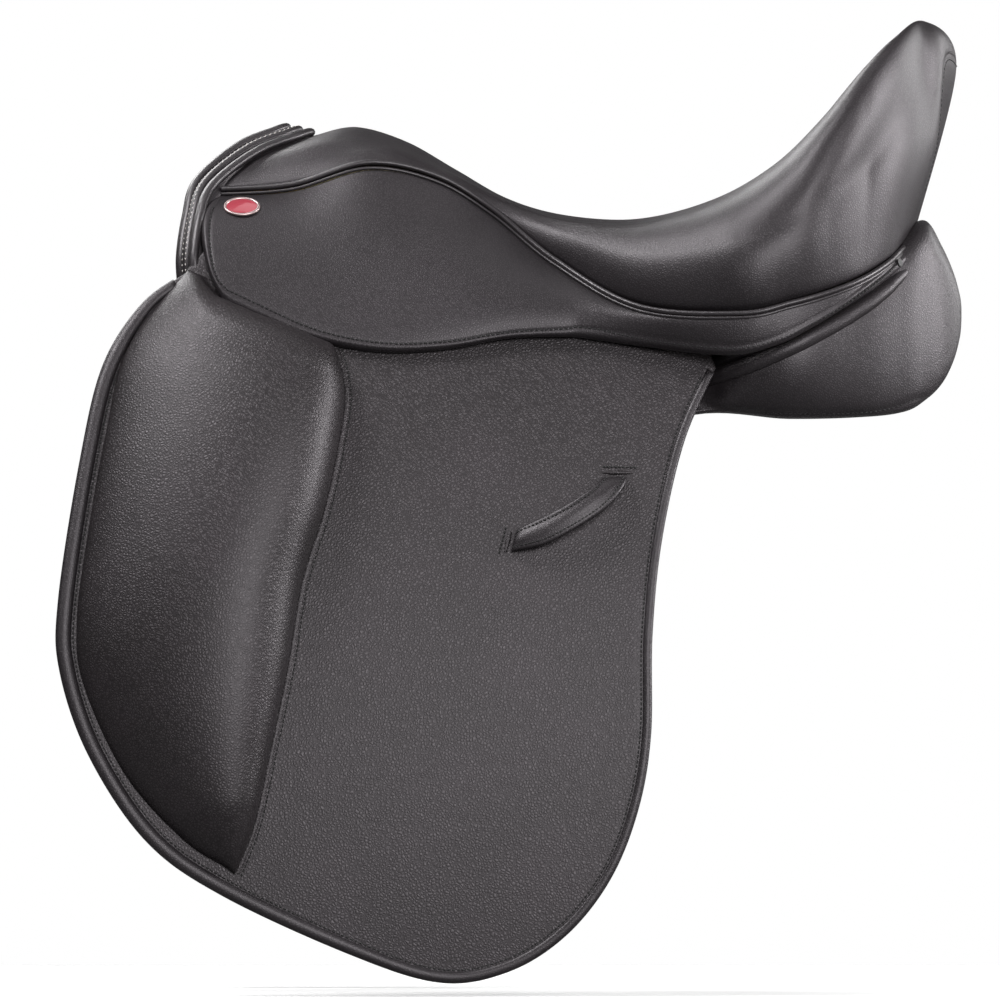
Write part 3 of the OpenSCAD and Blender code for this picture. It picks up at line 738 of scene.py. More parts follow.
# Shrunken cowhide: pebbles about 2 mm wide that scatter the light into a mottled grey, with painted shade in
# the creases between them.
PEBBLED = Leather("shrunken_grain_cowhide", "grained_leather", "#1b1819", 0.47, rubbed="#221e20", grain=1.9,
                  depth=0.13, crease_shade=0.65, wax=0.05)
# Split hide: matt and a little paler.
LINING = Leather("split_hide_lining", "lining_leather", "#272425", 0.66, rubbed="#2d2a2b", grain=1.4,
                 depth=0.1, wax=0.0)
# Thin skived calf drawn tight over cord: glossier than the panels beside it.
PIPING = Leather("skived_calf_piping", "piping", "#1b181a", 0.42, rubbed="#211e20", grain=1.4, depth=0.05,
                 wax=0.3)
# Vegetable-tanned butt: firm, waxed and even.
STRAP = Leather("vegetable_tanned_strap_butt", "strap_leather", "#26211f", 0.45, rubbed="#2c2624", grain=1.4,
                depth=0.08, wax=0.15)
# Bonded polyester thread, drawn down into the leather: black thread, painted duller and blacker than the face
# beside it to stand in for the shade in the stitch holes.
THREAD_WITH_HOLE_SHADE = Woven("bonded_polyester_thread", "piping", "#0c0b0c", 0.85, yarn=0.8, depth=0.1, light="#141213",
               sheen=0.0)
# The pale thread of the front facing: small bright dots along its middle ridge.
PALE_THREAD = Woven("bonded_polyester_pale_thread", "piping", "#aaa4a1", 0.6, yarn=0.8, depth=0.1,
                    light="#cdc7c4")
# Cotton web: dark, dull and ribbed across.
WEB = Woven("woven_cotton_web", "webbing", "#2b2826", 0.8)
# Latex foam: pale cream and pitted.
LATEX = Foam("cut_latex_foam", "foam", "#d8cba4", 0.9)
# Beech ply: warm and pale, with darker streaks along it.
BEECH = Grained("sanded_beech_ply", "beech", "#c9a676", 0.55)
# Blued steel: a dark satin grey.
SPRING_STEEL = Grained("blued_spring_steel", "spring_steel", "#4a4a4d", 0.42, streak_colour="#3b3b3e",
                       streak=0.8, metallic=1.0, depth=0.01)
# Brushed steel: bright, with its highlights drawn out along the brush lines.
STAINLESS = Grained("brushed_stainless_steel", "stainless", "#c4c5c7", 0.3, streak_colour="#aeb0b3",
                    streak=0.8, metallic=1.0, depth=0.01)
# Plated brass: a soft silver line round the badge.
BADGE_RIM = Grained("plated_brass_rim", "badge", "#b5a3a2", 0.42, streak_colour="#a39190", streak=0.8,
                    metallic=1.0, depth=0.005)
# Red enamel: the one spot of colour.
BADGE_FACE = Enamel("fired_red_enamel", "badge", "#8c2a39", 0.3)
# Lacquered nail heads: black and dull.
JAPANNED = Grained("black_japanned_steel", "spring_steel", "#151314", 0.6, streak_colour="#121011",
                   streak=0.8, depth=0.005)
# Pale studio paper: white where it is lit, with a soft grey shadow.
PAPER = Paper("matt_studio_paper", "paper", "#c8c8c8", 0.9)


# Pieces

# Edges sharper than these angles in degrees stay sharp, on cut plates and on drawn or padded forms.
CUT_CREASE = 40.0
DRAWN_CREASE = 70.0


def smooth_faces(mesh: bpy.types.Mesh, crease_angle: float) -> None:
    """Shades a mesh smooth, with sharp edges above an angle in degrees."""
    mesh.shade_smooth()
    mesh.set_sharp_from_angle(angle=math.radians(crease_angle))


@dataclass
class Piece:
    """A visible piece: its name, shell, finish and the frame nodes that it replaces."""

    name: str
    shell: Shell
    finish: Finish
    nodes: Sequence[str] = ()
    crease_angle: float = 50.0

    def place(self) -> bpy.types.Object:
        """Makes the object.

        Returns:
            The object, still to be given to a body.
        """
        mesh = bpy.data.meshes.new(self.name)
        mesh.from_pydata(self.shell.points * MM, [], self.shell.faces)
        mesh.validate()
        smooth_faces(mesh, self.crease_angle)
        mesh.materials.append(self.finish.material())
        made = bpy.data.objects.new(self.name, mesh)
        bpy.context.scene.collection.objects.link(made)
        if self.nodes:
            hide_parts(*self.nodes)
        LOG.info("%s: %d faces", self.name, len(mesh.polygons))
        return made

    def on(self, body: str) -> bpy.types.Object:
        """Makes the object and fixes it to a body.

        Args:
            body: the body's name.
        Returns:
            The object.
        """
        made = self.place()
        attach(made, body)
        return made


@dataclass
class Pair:
    """A piece drawn for the left side, to be made on both sides.

    The right one mirrors the left one, and both replace the nodes of the same stems.
    """

    name: str
    shell: Shell
    finish: Finish
    stems: Sequence[str] = ()
    crease_angle: float = 50.0

    def piece(self, side: Side) -> Piece:
        """The piece of one side.

        Args:
            side: the side.
        Returns:
            The piece, still to be made.
        """
        shell = self.shell if side is Side.LEFT else self.shell.mirrored()
        nodes = [side.node(stem) for stem in self.stems]
        return Piece(side.node(self.name), shell, self.finish, nodes, self.crease_angle)

    def on(self, body: str) -> list[bpy.types.Object]:
        """Makes both pieces on a body.

        Args:
            body: the root body, or the stem of the two sides' bodies.
        Returns:
            The left and the right object.
        """
        return [self.piece(side).on(body if body == ROOT else side.body(body)) for side in Side]

    def bent(self, body: str, start: Points, end: Points) -> list[bpy.types.Object]:
        """Makes both pieces in place and bakes their transforms; they are fixed to no body and do not bend.

        Args:
            body: stem of the moving bodies.
            start: not used.
            end: not used.
        Returns:
            The left and the right object.
        """
        made = []
        for side in Side:
            piece = self.piece(side).place()
            side.body(body)
            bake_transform(piece)
            made.append(piece)
        return made


# Sub-assemblies

@dataclass
class Seat:
    """The padded seat: its cover, the leather behind the cantle, the foam, the webs and the welts.

    Each station of the five curves lies across the saddle, from the pommel over the cantle to its foot.
    """

    middle: Knots = ((-163, 0, 179), (-138, 0, 184), (-107, 0, 175), (-76, 0, 157.5), (-45, 0, 140),
                     (-12, 0, 130), (31, 0, 126), (72, 0, 129), (105, 0, 138), (140, 0, 160), (172, 0, 190),
                     (200, 0, 223), (217, 0, 246.5), (233.5, 0, 219), (207, 0, 116))
    rim: Knots = ((-196, 30, 166), (-152, 34, 177), (-114, 34, 172), (-78, 34, 155), (-46, 40, 138),
                  (-12, 58, 127), (34, 82, 124), (84, 97, 137.5), (122, 107, 160), (150, 109, 188),
                  (174, 99, 217), (194, 78, 236.5), (210, 52, 243), (226, 40, 219), (206.7, 20, 115.7))
    wall: Knots = ((-210, 43, 156), (-166, 49, 164), (-122, 50, 169), (-84, 48, 155.5), (-50, 53, 136.5),
                   (-13, 74, 116), (35, 108, 102), (92, 130, 106), (128, 135, 120), (154, 132, 138),
                   (178, 121, 158), (199, 102, 172), (214, 78, 178), (220, 54, 168), (206.3, 34, 115.3))
    edge: Knots = ((-222, 52, 146), (-176, 58, 149), (-130, 60, 162), (-88, 58, 154), (-53, 62, 133),
                   (-16, 82, 103), (36, 121, 74), (98, 141, 69.5), (130, 140, 76), (154, 134, 83),
                   (174, 123, 91), (190, 106, 101), (199, 86, 110), (204, 64, 114), (206, 46, 115))
    core: Knots = ((-165, 0, 110), (-140, 0, 112), (-110, 0, 108), (-78, 0, 96), (-46, 0, 76), (-12, 0, 62),
                   (33, 0, 55), (82, 0, 58), (115, 0, 72), (145, 0, 100), (180, 0, 125), (212, 0, 150),
                   (202, 0, 150), (190, 0, 180), (182, 0, 150))
    padding_share: Sequence[float] = (0.8, 1, 1, 1, 1, 1, 1, 1, 1, 0.8, 0.6, 0.45, 0.25, 0.15, 0.15)
    leather: float = 2.0
    foam: float = 14.0
    glue_gap: float = 1.0
    tree: float = 8.0
    gullet_span: Sequence[float] = (0.1, 8.6)
    back_seam: float = 12.9
    seam_margin: float = 0.06
    web_starts: Sequence[float] = (4, 5.5, 7)
    web_span: float = 1.0
    # Rows along the saddle of the cover, the cantle's back, the foam, a web and the roof of the gullet.
    cover_rows: int = 150
    back_rows: int = 30
    foam_rows: int = 141
    web_rows: int = 9
    roof_rows: int = 60
    # Each cord of the welt: its radius, its distance from the edge and how steeply it lies below the edge.
    cords: Knots = ((1.7, 2.8, 0.8), (1.1, 5.2, 1.6))
    cord_span: Sequence[float] = (0.1, 13.3)
    stitch_inset: float = 0.6
    # Places across of the grid's first lines, where the edge turns in, and where its even lines start.
    edge_lines: Sequence[float] = (0, 0.02, 0.05, 0.09, 0.14, 0.2, 0.28)
    even_lines: float = 0.36
    edge_puff: float = 3.2
    edge_puff_span: float = 0.24
    # The valley under the cantle's rolled rim: for each station its place across and how deep the side lies.
    valley_at: Sequence[float] = (7.3, 8.2, 9, 10, 11, 11.8, 12.6)
    valley_place: Sequence[float] = (1.15, 1.08, 1.06, 1.2, 1.47, 1.68, 1.8)
    valley_depth: Sequence[float] = (0, 2, 5, 6.5, 5, 4.5, 0)
    valley_width: float = 0.22
    # The seat's padded side, which overhangs the welt.
    side_at: Sequence[float] = (2.5, 4, 5.5, 7, 8.5, 10)
    side_swell: Sequence[float] = (0, 3, 10, 13, 8, 0)

    LAST_ACROSS = 6.0
    RIM_ACROSS = 2.0

    def surface(self, stations: Points, across: Points) -> Points:
        """Top of the leather before the cantle is shaped.

        Args:
            stations: places along the saddle.
            across: places across it, from 0 at the left edge to 6 at the right edge.
        Returns:
            A grid of points.
        """
        curves = [at_knots(k, stations) for k in (self.edge, self.wall, self.rim, self.middle)]
        left = [c * MIRROR for c in curves[:3]]
        ribs = np.stack(left + [curves[3]] + curves[2::-1], axis=0)
        return np.stack([at_knots(ribs[:, i], across) for i in range(len(stations))], axis=0)

    def toward_core(self, stations: Points, top: Points) -> Points:
        """Directions into the seat from points of its top."""
        return unit(at_knots(self.core, stations)[:, None] - top)

    def shaped(self, stations: Points, across: Points) -> Points:
        """Top of the leather, with the puffed edges, the cantle's valley and the side.

        Args:
            stations: places along the saddle.
            across: places across it.
        Returns:
            A grid of points.
        """
        top = self.surface(stations, across)
        near = np.minimum(across, self.LAST_ACROSS - across)[None, :]
        place = np.interp(stations, self.valley_at, self.valley_place)[:, None]
        depth = np.interp(stations, self.valley_at, self.valley_depth)[:, None]
        under = 1 - ease(place - self.valley_width, place + self.valley_width, near)
        sink = depth * under * np.minimum(near / place, 1)
        swell = np.interp(stations, self.side_at, self.side_swell)[:, None]
        sink -= swell * np.sin(math.pi * np.minimum(near / self.RIM_ACROSS, 1))
        turn = np.clip(1 - near / self.edge_puff_span, 0, 1)
        sink += self.edge_puff * (1 - np.sqrt(1 - turn ** 2))
        return top + self.toward_core(stations, top) * sink[..., None]

    def shell(self, stations: Points, across: Points, depth: float, thickness: float) -> Shell:
        """A layer of the seat.

        Args:
            stations: places along the saddle.
            across: places across it.
            depth: how far under the top the layer starts.
            thickness: its greatest thickness.
        Returns:
            The layer's shell.
        """
        top = self.shaped(stations, across)
        into = self.toward_core(stations, top)
        share = np.interp(stations, np.arange(len(self.padding_share)), self.padding_share)[:, None, None]
        above = depth
        if depth > self.leather + self.glue_gap:
            above = self.leather + (depth - self.leather) * share
        thick = thickness if depth == 0 else thickness * share
        return slab(top + into * above, top + into * (above + thick))

    def across_fine(self) -> Points:
        """Places across the seat, closer together where its edges turn in.

        Returns:
            The places, from the left edge to the right edge.
        """
        edge = np.array(self.edge_lines)
        even = np.linspace(self.even_lines, self.LAST_ACROSS - self.even_lines, 89)
        return np.concatenate([edge, even, self.LAST_ACROSS - edge[::-1]])

    def welt(self, radius: float, away: float, drop: float) -> Shell:
        """A piped cord along the left edge.

        Args:
            radius: the cord's radius.
            away: its distance from the edge.
            drop: how steeply it lies below the edge.
        Returns:
            The cord's shell.
        """
        stations = np.linspace(*self.cord_span, 240)
        edge = at_knots(self.edge, stations) * MIRROR
        out = unit(unit(edge - at_knots(self.core, stations)) + np.array([0, 0, -drop]))
        return sweep(edge + out * away, out, oval(radius, radius))

    def back_stitches(self) -> Shell:
        """Stitches beside the seam between the cover and the cantle's back.

        Returns:
            The stitches' shell.
        """
        across = np.linspace(self.stitch_inset, self.LAST_ACROSS - self.stitch_inset, 160)
        station = np.array([self.back_seam + self.seam_margin])
        line = self.shaped(station, across)
        return Stitch().row(line[0], -self.toward_core(station, line)[0])

    def build(self) -> None:
        """Makes the seat's pieces."""
        fine = self.across_fine()
        foot = len(self.middle) - 1
        cover = self.shell(np.linspace(0, self.back_seam, self.cover_rows), fine, 0, self.leather)
        made = Piece("seat_cover_leather", cover, SMOOTH, ["seat_cover"], DRAWN_CREASE).on(ROOT)
        back = self.shell(np.linspace(self.back_seam, foot, self.back_rows), fine, 0, self.leather)
        made = Piece("cantle_back_leather", back, SMOOTH, ["cantle_back"], DRAWN_CREASE).on(ROOT)
        stations = np.linspace(0, foot, self.foam_rows)
        core = self.shell(stations, fine, self.leather + self.glue_gap, self.foam)
        made = Piece("seat_foam_block", core, LATEX, ["seat_foam"]).on(ROOT)
        Piece("cantle_stitches", self.back_stitches(), THREAD_WITH_HOLE_SHADE).on(ROOT)
        inner = np.linspace(self.RIM_ACROSS, self.LAST_ACROSS - self.RIM_ACROSS, 25)
        under = self.leather + self.foam
        spans = [np.linspace(start, start + self.web_span, self.web_rows) for start in self.web_starts]
        webs = [self.shell(span, inner, under, self.leather) for span in spans]
        Piece("seat_web_bands", Shell.joined(webs), WEB, ["seat_webs"]).on(ROOT)
        under += self.tree + self.leather
        roof = self.shell(np.linspace(*self.gullet_span, self.roof_rows), inner, under, self.leather)
        Piece("gullet_lining", roof, LINING).on(ROOT)
        cords = [self.welt(*cord) for cord in self.cords]
        Pair("seat_welt_cords", Shell.joined(cords), PIPING, ["seat_welt"]).on(ROOT)


@dataclass
class Facing:
    """The piped facing round the front of the pommel: three ridges, one of them stitched."""

    first: Knots = ((-237, 89, 84), (-238, 86, 103), (-234.5, 73, 128), (-226, 54.5, 148),
                    (-199.5, 31.5, 168.5), (-174, 14, 178.3), (-167, 0, 180.5))
    step: Knots = ((-4, -6, 0), (-4, -6, 0), (-4, -6, 0), (-5, -5, 1), (-6, -4, 1.5), (-7.2, -2, 1.5),
                   (-7.5, 0, 1.5))
    ridges: Sequence[str] = ("inner", "middle", "outer")
    wide: float = 3.7
    high: float = 2.9
    centre: Sequence[float] = (-150, 0, 95)
    stitched: int = 1
    stitch: Stitch = Stitch(pitch=3.6, length=1.4, width=0.6)
    stitch_offsets: Sequence[float] = (-1.5, 1.5)
    stitch_height: float = 0.92
    # Where the facing meets the skirt's and the seat's front edge, from the flap up to the middle.
    rear: Knots = ((-226, 87, 82), (-226, 84, 98), (-226, 72, 122), (-222, 55, 144), (-200, 30, 164),
                   (-172, 12, 174.5), (-163, 0, 177))
    lining: float = 2.0
    arch_outer: Knots = ((-222, 97, 70), (-236, 88, 96), (-238, 76, 116), (-231, 57, 141), (-209, 32, 163),
                         (-174, 0, 177))
    arch_inner: Knots = ((-215, 63, 68), (-216, 50, 94), (-216, 43, 114), (-203, 33, 136), (-188, 20, 146),
                         (-168, 0, 154))
    arch_swell: float = 3.0

    def over(self, knots: Knots) -> Points:
        """Smooth line over the pommel from the left to the right, from the knots of its right half."""
        right = np.asarray(knots, float)
        return along(np.concatenate([right * MIRROR, right[-2::-1]]), np.linspace(0, 1, 121))

    def path(self, ridge: int) -> tuple[Points, Points]:
        """A ridge's line over the pommel.

        Args:
            ridge: the ridge's number, from 0 behind.
        Returns:
            Its points and outward normals.
        """
        line = self.over(np.asarray(self.first) + ridge * np.asarray(self.step))
        return line, unit(line - self.centre)

    def sheet(self) -> Shell:
        """The leather between the ridges and the edges of the seat and skirts.

        Returns:
            Its shell.
        """
        line, up = self.path(0)
        outer = between(self.over(self.rear), line, np.linspace(0, 1, 6))
        return slab(outer, outer - up[:, None] * self.lining)

    def arch(self) -> Shell:
        """The lining in front of the foam and the tree, from the ridges down into the gullet.

        Returns:
            Its shell.
        """
        share = np.linspace(0, 1, 9)
        face = between(self.over(self.arch_outer), self.over(self.arch_inner), share)
        face = face - self.arch_swell * np.sin(math.pi * share)[:, None] * (1, 0, 0)
        return slab(face, face + np.array([self.lining, 0, 0]))

    def stitches(self) -> Shell:
        """The two rows of stitches along the stitched ridge.

        Returns:
            The stitches' shell.
        """
        line, up = self.path(self.stitched)
        across = unit(np.cross(unit(np.gradient(line, axis=0)), up))
        crest = line + up * self.high * self.stitch_height
        return Shell.joined([self.stitch.row(crest + across * k, up) for k in self.stitch_offsets])

    def build(self) -> None:
        """Makes the ridges, their stitches and the leather behind them."""
        for number, name in enumerate(self.ridges):
            line, up = self.path(number)
            ridge = sweep(line, up, oval(self.wide, self.high))
            Piece(f"pommel_ridge_{name}", ridge, PIPING, [f"front_roll_{name}"]).on(ROOT)
        Piece("pommel_stitches", self.stitches(), PALE_THREAD).on(ROOT)
        Piece("pommel_facing_leather", self.sheet(), SMOOTH).on(ROOT)
        Piece("pommel_arch_lining", self.arch(), LINING, crease_angle=DRAWN_CREASE).on(ROOT)


@dataclass
class Panel:
    """The flocked panels that lie on the horse, one on each side of the gullet.

    Each station has its place along the saddle and its four corners as (out, height): inner top, inner
    bottom, outer bottom and outer top.
    """

    stations: Knots = ((-226, 40, 104, 44, 84, 76, 30, 76, 78), (-214, 34, 116, 44, 70, 104, -40, 92, 72),
                       (-150, 33, 108, 42, 64, 116, -70, 96, 70), (-80, 33, 96, 40, 52, 116, -60, 96, 68),
                       (0, 33, 84, 38, 42, 112, -22, 96, 62), (70, 33, 78, 36, 36, 108, 6, 104, 58),
                       (130, 33, 88, 36, 34, 112, 4, 122, 60), (172, 33, 102, 36, 36, 109, 6, 106, 84),
                       (200, 34, 114, 38, 40, 99, 10, 90, 104), (214, 35, 118, 39, 46, 91, 18, 80, 112),
                       (224, 38, 104, 42, 52, 83, 27, 74, 100), (231, 43, 90, 46, 58, 74, 40, 67, 88),
                       (235, 50, 78, 51, 64, 65, 54, 62, 77), (236, 55, 72, 55, 68, 59, 64, 59, 71))
    # Rings of the panel, and the points in each, for its shell and for the lines drawn on it.
    ring_count: int = 120
    ring_sides: int = 120
    fine_sides: int = 480
    # Heights of the two rolled gussets and of the lower seam along the rear of the panel.
    seam_x: Sequence[float] = (60, 76, 93, 108, 122, 136, 150, 164, 178, 190, 200, 209)
    upper_gusset: Sequence[float] = (34, 38, 43, 48, 54, 61, 69, 77, 86, 95, 103, 112)
    lower_gusset: Sequence[float] = (22, 27, 32, 38, 44, 50.5, 58, 66, 75, 84, 94, 105)
    foot_seam: Sequence[float] = (11.5, 11, 9, 7, 6.5, 6, 6, 6.3, 7, 9, 12, 16)
    seam_step: float = 5.0
    # Share of a ring's width beyond which its points count as the outer side.
    outer_side: float = 0.75
    gusset_wide: float = 5.6
    gusset_high: float = 4.6
    gusset_up: Sequence[float] = (0.15, -0.85, 0.5)
    # By shares of its length, a gusset starts slim, thins towards its rear end and dives in there.
    gusset_slim: float = 0.4
    gusset_full: float = 0.08
    gusset_thin: float = 0.45
    gusset_thin_from: float = 0.7
    gusset_sunk: float = 1.0
    gusset_dive: float = 4.0
    gusset_dive_from: float = 0.86
    foot_depth: float = 1.2
    foot_width: float = 1.6
    foot_up: Sequence[float] = (0.1, -0.8, -0.6)
    # Where the seam's pinch sets in, outwards and along the saddle, and how many steps on its stitches start.
    foot_out: Sequence[float] = (50, 62)
    foot_along: Sequence[float] = (62, 84)
    foot_skip: int = 3
    thread_lift: float = 0.1
    half_gullet: float = 33.0
    lay_gap: float = 0.3
    # The tree bar: its inner radius, the heights where it gives way to the sweat flap, and its rear end.
    bar_inner: float = 991.7
    bar_foot: Sequence[float] = (60, 50)
    bar_rear: float = 78.0

    def limit(self, x: Points, z: Points) -> Points:
        """Greatest distance from the middle, where the tree bar or the sweat flap lies outside.

        Args:
            x: places along the saddle.
            z: heights.
        Returns:
            A distance for each.
        """
        high, low = self.bar_foot
        share = np.clip((high - z) / (high - low), 0, 1)
        r = self.bar_inner + (Layer.SWEAT_FLAP.inner - self.bar_inner) * share - self.lay_gap
        return -layer_point(np.stack([x, z], axis=-1), r)[..., 1] + np.maximum(0, x - self.bar_rear)

    def rings(self, sides: int) -> Points:
        """Rings of the left panel.

        Args:
            sides: how many points in each.
        Returns:
            The rings, front to rear.
        """
        turn = np.linspace(0, 4, sides, endpoint=False)
        rings = []
        for place, *row in along(self.stations, np.linspace(0, 1, self.ring_count)):
            corners = np.reshape(row, (4, 2))
            closed = np.concatenate([corners[-1:], corners, corners[:2]])
            out, z = at_knots(closed, turn + 1).T
            x = np.full(sides, place)
            pinch = self.foot_depth * hump(z, np.interp(place, self.seam_x, self.foot_seam), self.foot_width)
            pinch = pinch * ease(*self.foot_out, out) * ease(*self.foot_along, place)
            out = np.clip(out, self.half_gullet, self.limit(x, z)) - pinch
            rings.append(np.stack([x, -out, z], axis=1))
        return np.stack(rings)

    def side_line(self, rings: Points, heights: Sequence[float]) -> Points:
        """A line along the outer side of the rear of the left panel.

        Args:
            rings: fine rings of the panel.
            heights: the line's heights at the seam places.
        Returns:
            Points of the panel's surface, front to rear.
        """
        path = []
        for ring in rings:
            if self.seam_x[0] <= ring[0, 0] <= self.seam_x[-1]:
                outside = ring[ring[:, 1] < -self.outer_side * np.abs(ring[:, 1]).max()]
                height = np.interp(ring[0, 0], self.seam_x, heights)
                path.append(outside[np.argmin(np.abs(outside[:, 2] - height))])
        return even_path(np.array(path), self.seam_step)

    def gussets(self, rings: Points) -> Shell:
        """The two rolled gussets under the left skirt's tail.

        Args:
            rings: fine rings of the panel.
        Returns:
            The gussets' shell.
        """
        shells = []
        for heights in (self.upper_gusset, self.lower_gusset):
            line = self.side_line(rings, heights)
            line[:, 2] = np.interp(line[:, 0], self.seam_x, heights)
            up = np.broadcast_to(unit(np.array(self.gusset_up)), line.shape)
            share = np.linspace(0, 1, len(line))
            size = 1 - self.gusset_thin * ease(self.gusset_thin_from, 1, share)
            size = size * (self.gusset_slim + (1 - self.gusset_slim) * ease(0, self.gusset_full, share))
            section = oval(self.gusset_wide, self.gusset_high, 16) * size[:, None, None]
            depth = self.gusset_sunk + self.gusset_dive * ease(self.gusset_dive_from, 1, share)
            shells.append(sweep(line - up * depth[:, None], up, section))
        return Shell.joined(shells)

    def foot_stitches(self, rings: Points) -> Shell:
        """Stitches along the lower seam of the rear of the left panel.

        Args:
            rings: fine rings of the panel.
        Returns:
            The stitches' shell.
        """
        line = self.side_line(rings, self.foot_seam)[self.foot_skip:]
        up = np.broadcast_to(unit(np.array(self.foot_up)), line.shape)
        return Stitch().row(line + up * self.thread_lift, up)

    def build(self) -> None:
        """Makes the panels, their gussets and their stitches."""
        body = loft(self.rings(self.ring_sides)[:, ::-1])
        for made in Pair("flocked_panel", body, SMOOTH, ["panel"], DRAWN_CREASE).on(ROOT):
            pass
        fine = self.rings(self.fine_sides)
        for made in Pair("panel_gussets", self.gussets(fine), SMOOTH).on(ROOT):
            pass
        Pair("panel_stitches", self.foot_stitches(fine), THREAD_WITH_HOLE_SHADE).on(ROOT)


@dataclass
class Skirt:
    """The skirts: a fixed band under the seat, a lobe that lifts over the stirrup bar, and a fixed tail.

    A place on the skirt is given by its distance from the front edge and from the lower edge.
    """

    seat: Seat
    low: Knots = ((-224, 79), (-200, 67), (-163, 52.5), (-122, 45), (-82, 46), (-43, 52), (-2, 53))
    belly: Knots = ((-233, 93, 112), (-192, 102, 97), (-155, 108, 87), (-116, 113, 81), (-78, 115, 79),
                    (-40, 116, 74), (-2, 116, 68))
    bend: Knots = ((-222, 66, 141), (-2, 113, 82))
    tail_low: Knots = ((-2, 115.7, 53), (43, 121.5, 45.5), (93, 139.5, 41), (122, 143.5, 48),
                       (143, 141, 58.5), (161, 135, 69.5), (177, 126, 81.5), (190, 111, 91.5),
                       (197.5, 96, 100), (202, 85, 105.5))
    under_welt: Sequence[float] = (0, 3.2, -5.4)
    lift: float = 6.6
    thickness: float = 4.4
    # How much thinner the leather is skived, between these distances from its outline.
    skived: float = 2.0
    skive_span: Sequence[float] = (5.0, 15.0)
    # Stations of the seat's edge between which the tail hangs, and how it bulges beside the lobe.
    tail_start: float = 5.3
    tail_end: float = 12.6
    tail_belly: float = 9.0
    tail_fall: int = 6
    tail_join: float = 0.35
    lobe_length: float = 228.0
    tail_length: float = 232.0
    corner: float = 16.0
    roll: float = 5.0
    roll_drop: float = 3.2
    bead_height: float = 0.5
    bead_place: float = 3.0
    bead_width: float = 1.5
    groove: float = 6.2
    groove_depth: float = 0.35
    groove_width: float = 0.8
    # Where the skirt is narrower than this, its rolled edge and stitches are drawn together.
    narrow: float = 32.0
    # Distances of the grid's first lines from the edges, and where its even lines start.
    edge_lines: Sequence[float] = (0, 0.6, 1.3, 2.2, 3.2, 4.2, 5.0, 5.6, 6.2, 6.8, 7.6, 9, 11, 13.5, 16)
    even_lines: float = 20.0
    # How much flatter than the frame's folded form the dressed skirt hangs, and how far its front swells.
    flatten: float = 0.15
    front_swell: float = 6.5
    front_share: float = 0.2
    # How far above and below its bend line the skirt would turn; the points are handed on but not used.
    bend_above: float = 5.0
    bend_below: float = 7.0
    # The stitches start this far up the front edge, and stop this far from the end of the tail.
    stitch_up: float = 62.0
    stitch_end: float = 30.0
    # Reach beside a stitch over which the leather's normal is taken.
    normal_reach: float = 0.3
    badge_place: Sequence[float] = (-208.0, 133.0)
    badge_half: Sequence[float] = (10.4, 7.8)
    badge_rim: float = 1.0
    badge_rim_lift: float = 0.8
    badge_sunk: float = 1.0
    badge_edge: float = 1.0
    badge_dome: float = 1.2
    badge_rings: Sequence[float] = (1.0, 0.85, 0.6, 0.3, 0.05)

    # The outer face looks away from the saddle and a little up.
    OUTWARD = (0, -1, 0.3)

    @property
    def length(self) -> float:
        """Length from the front of the lobe to the end of the tail."""
        return self.lobe_length + self.tail_length

    def lobe_knots(self, share: Points) -> Points:
        """Knots of the band and lobe from the lower edge to the seat, at shares of the way along them.

        Args:
            share: the shares.
        Returns:
            Four knots for each share, on the right side.
        """
        face = layer_point(along(self.low, share), FLAP_FACE + self.lift) * MIRROR
        top = at_knots(self.seat.edge, self.tail_start * share) + self.under_welt
        first, last = np.asarray(self.bend, float)
        bend = first + share[:, None] * (last - first)
        return np.stack([face, along(self.belly, share), bend, top], axis=1)

    def tail_knots(self, share: Points) -> Points:
        """Knots of the tail from the lower edge to the seat, at shares of the way along it.

        Args:
            share: the shares.
        Returns:
            Four knots for each share, on the right side.
        """
        reach = self.tail_start + (self.tail_end - self.tail_start) * share
        top = at_knots(self.seat.edge, reach) + self.under_welt
        up = np.linspace(0, 1, 4)
        swell = np.outer(self.tail_belly * (1 - share) ** self.tail_fall, np.sin(math.pi * up))
        return between(along(self.tail_low, share), top, up) + swell[..., None] * (0, 1, 0)

    def profile(self, station: Points) -> Points:
        """Four knots from the lower edge to the seat, for each station.

        Args:
            station: places along the skirt, 0 to 1 on the lobe and 1 to 2 on the tail.
        Returns:
            Knots as an array of stations, knots and coordinates, on the left side.
        """
        lobe = self.lobe_knots(np.clip(station, 0, 1))
        tail = self.tail_knots(np.clip(station - 1, 0, 1))
        step = self.lobe_knots(np.ones(1)) - self.tail_knots(np.zeros(1))
        fade = 1 - ease(0, self.tail_join, station - 1)[:, None, None]
        return np.where((station < 1)[:, None, None], lobe, tail + fade * step) * MIRROR

    def surface(self, distance: Points, height: Points) -> Points:
        """Plain face of the skirt, before its edge is rolled.

        Args:
            distance: distances from the front edge, one for each row.
            height: shares of the way from the lower edge to the seat, for each row and column.
        Returns:
            A grid of points.
        """
        past = distance - self.lobe_length
        station = np.where(past < 0, distance / self.lobe_length, 1 + past / self.tail_length)
        knots = self.profile(station)
        low, top = knots[:, 0], knots[:, 3]
        fold = (knots[:, 1] + knots[:, 2]) / 2
        fold = fold + self.flatten * ((low + top) / 2 - fold)
        fold[:, 0] -= self.front_swell * (1 - ease(0, self.front_share, station))
        pull = 2 * fold - (low + top) / 2
        v = height[..., None]
        return (1 - v) ** 2 * low[:, None] + 2 * v * (1 - v) * pull[:, None] + v ** 2 * top[:, None]

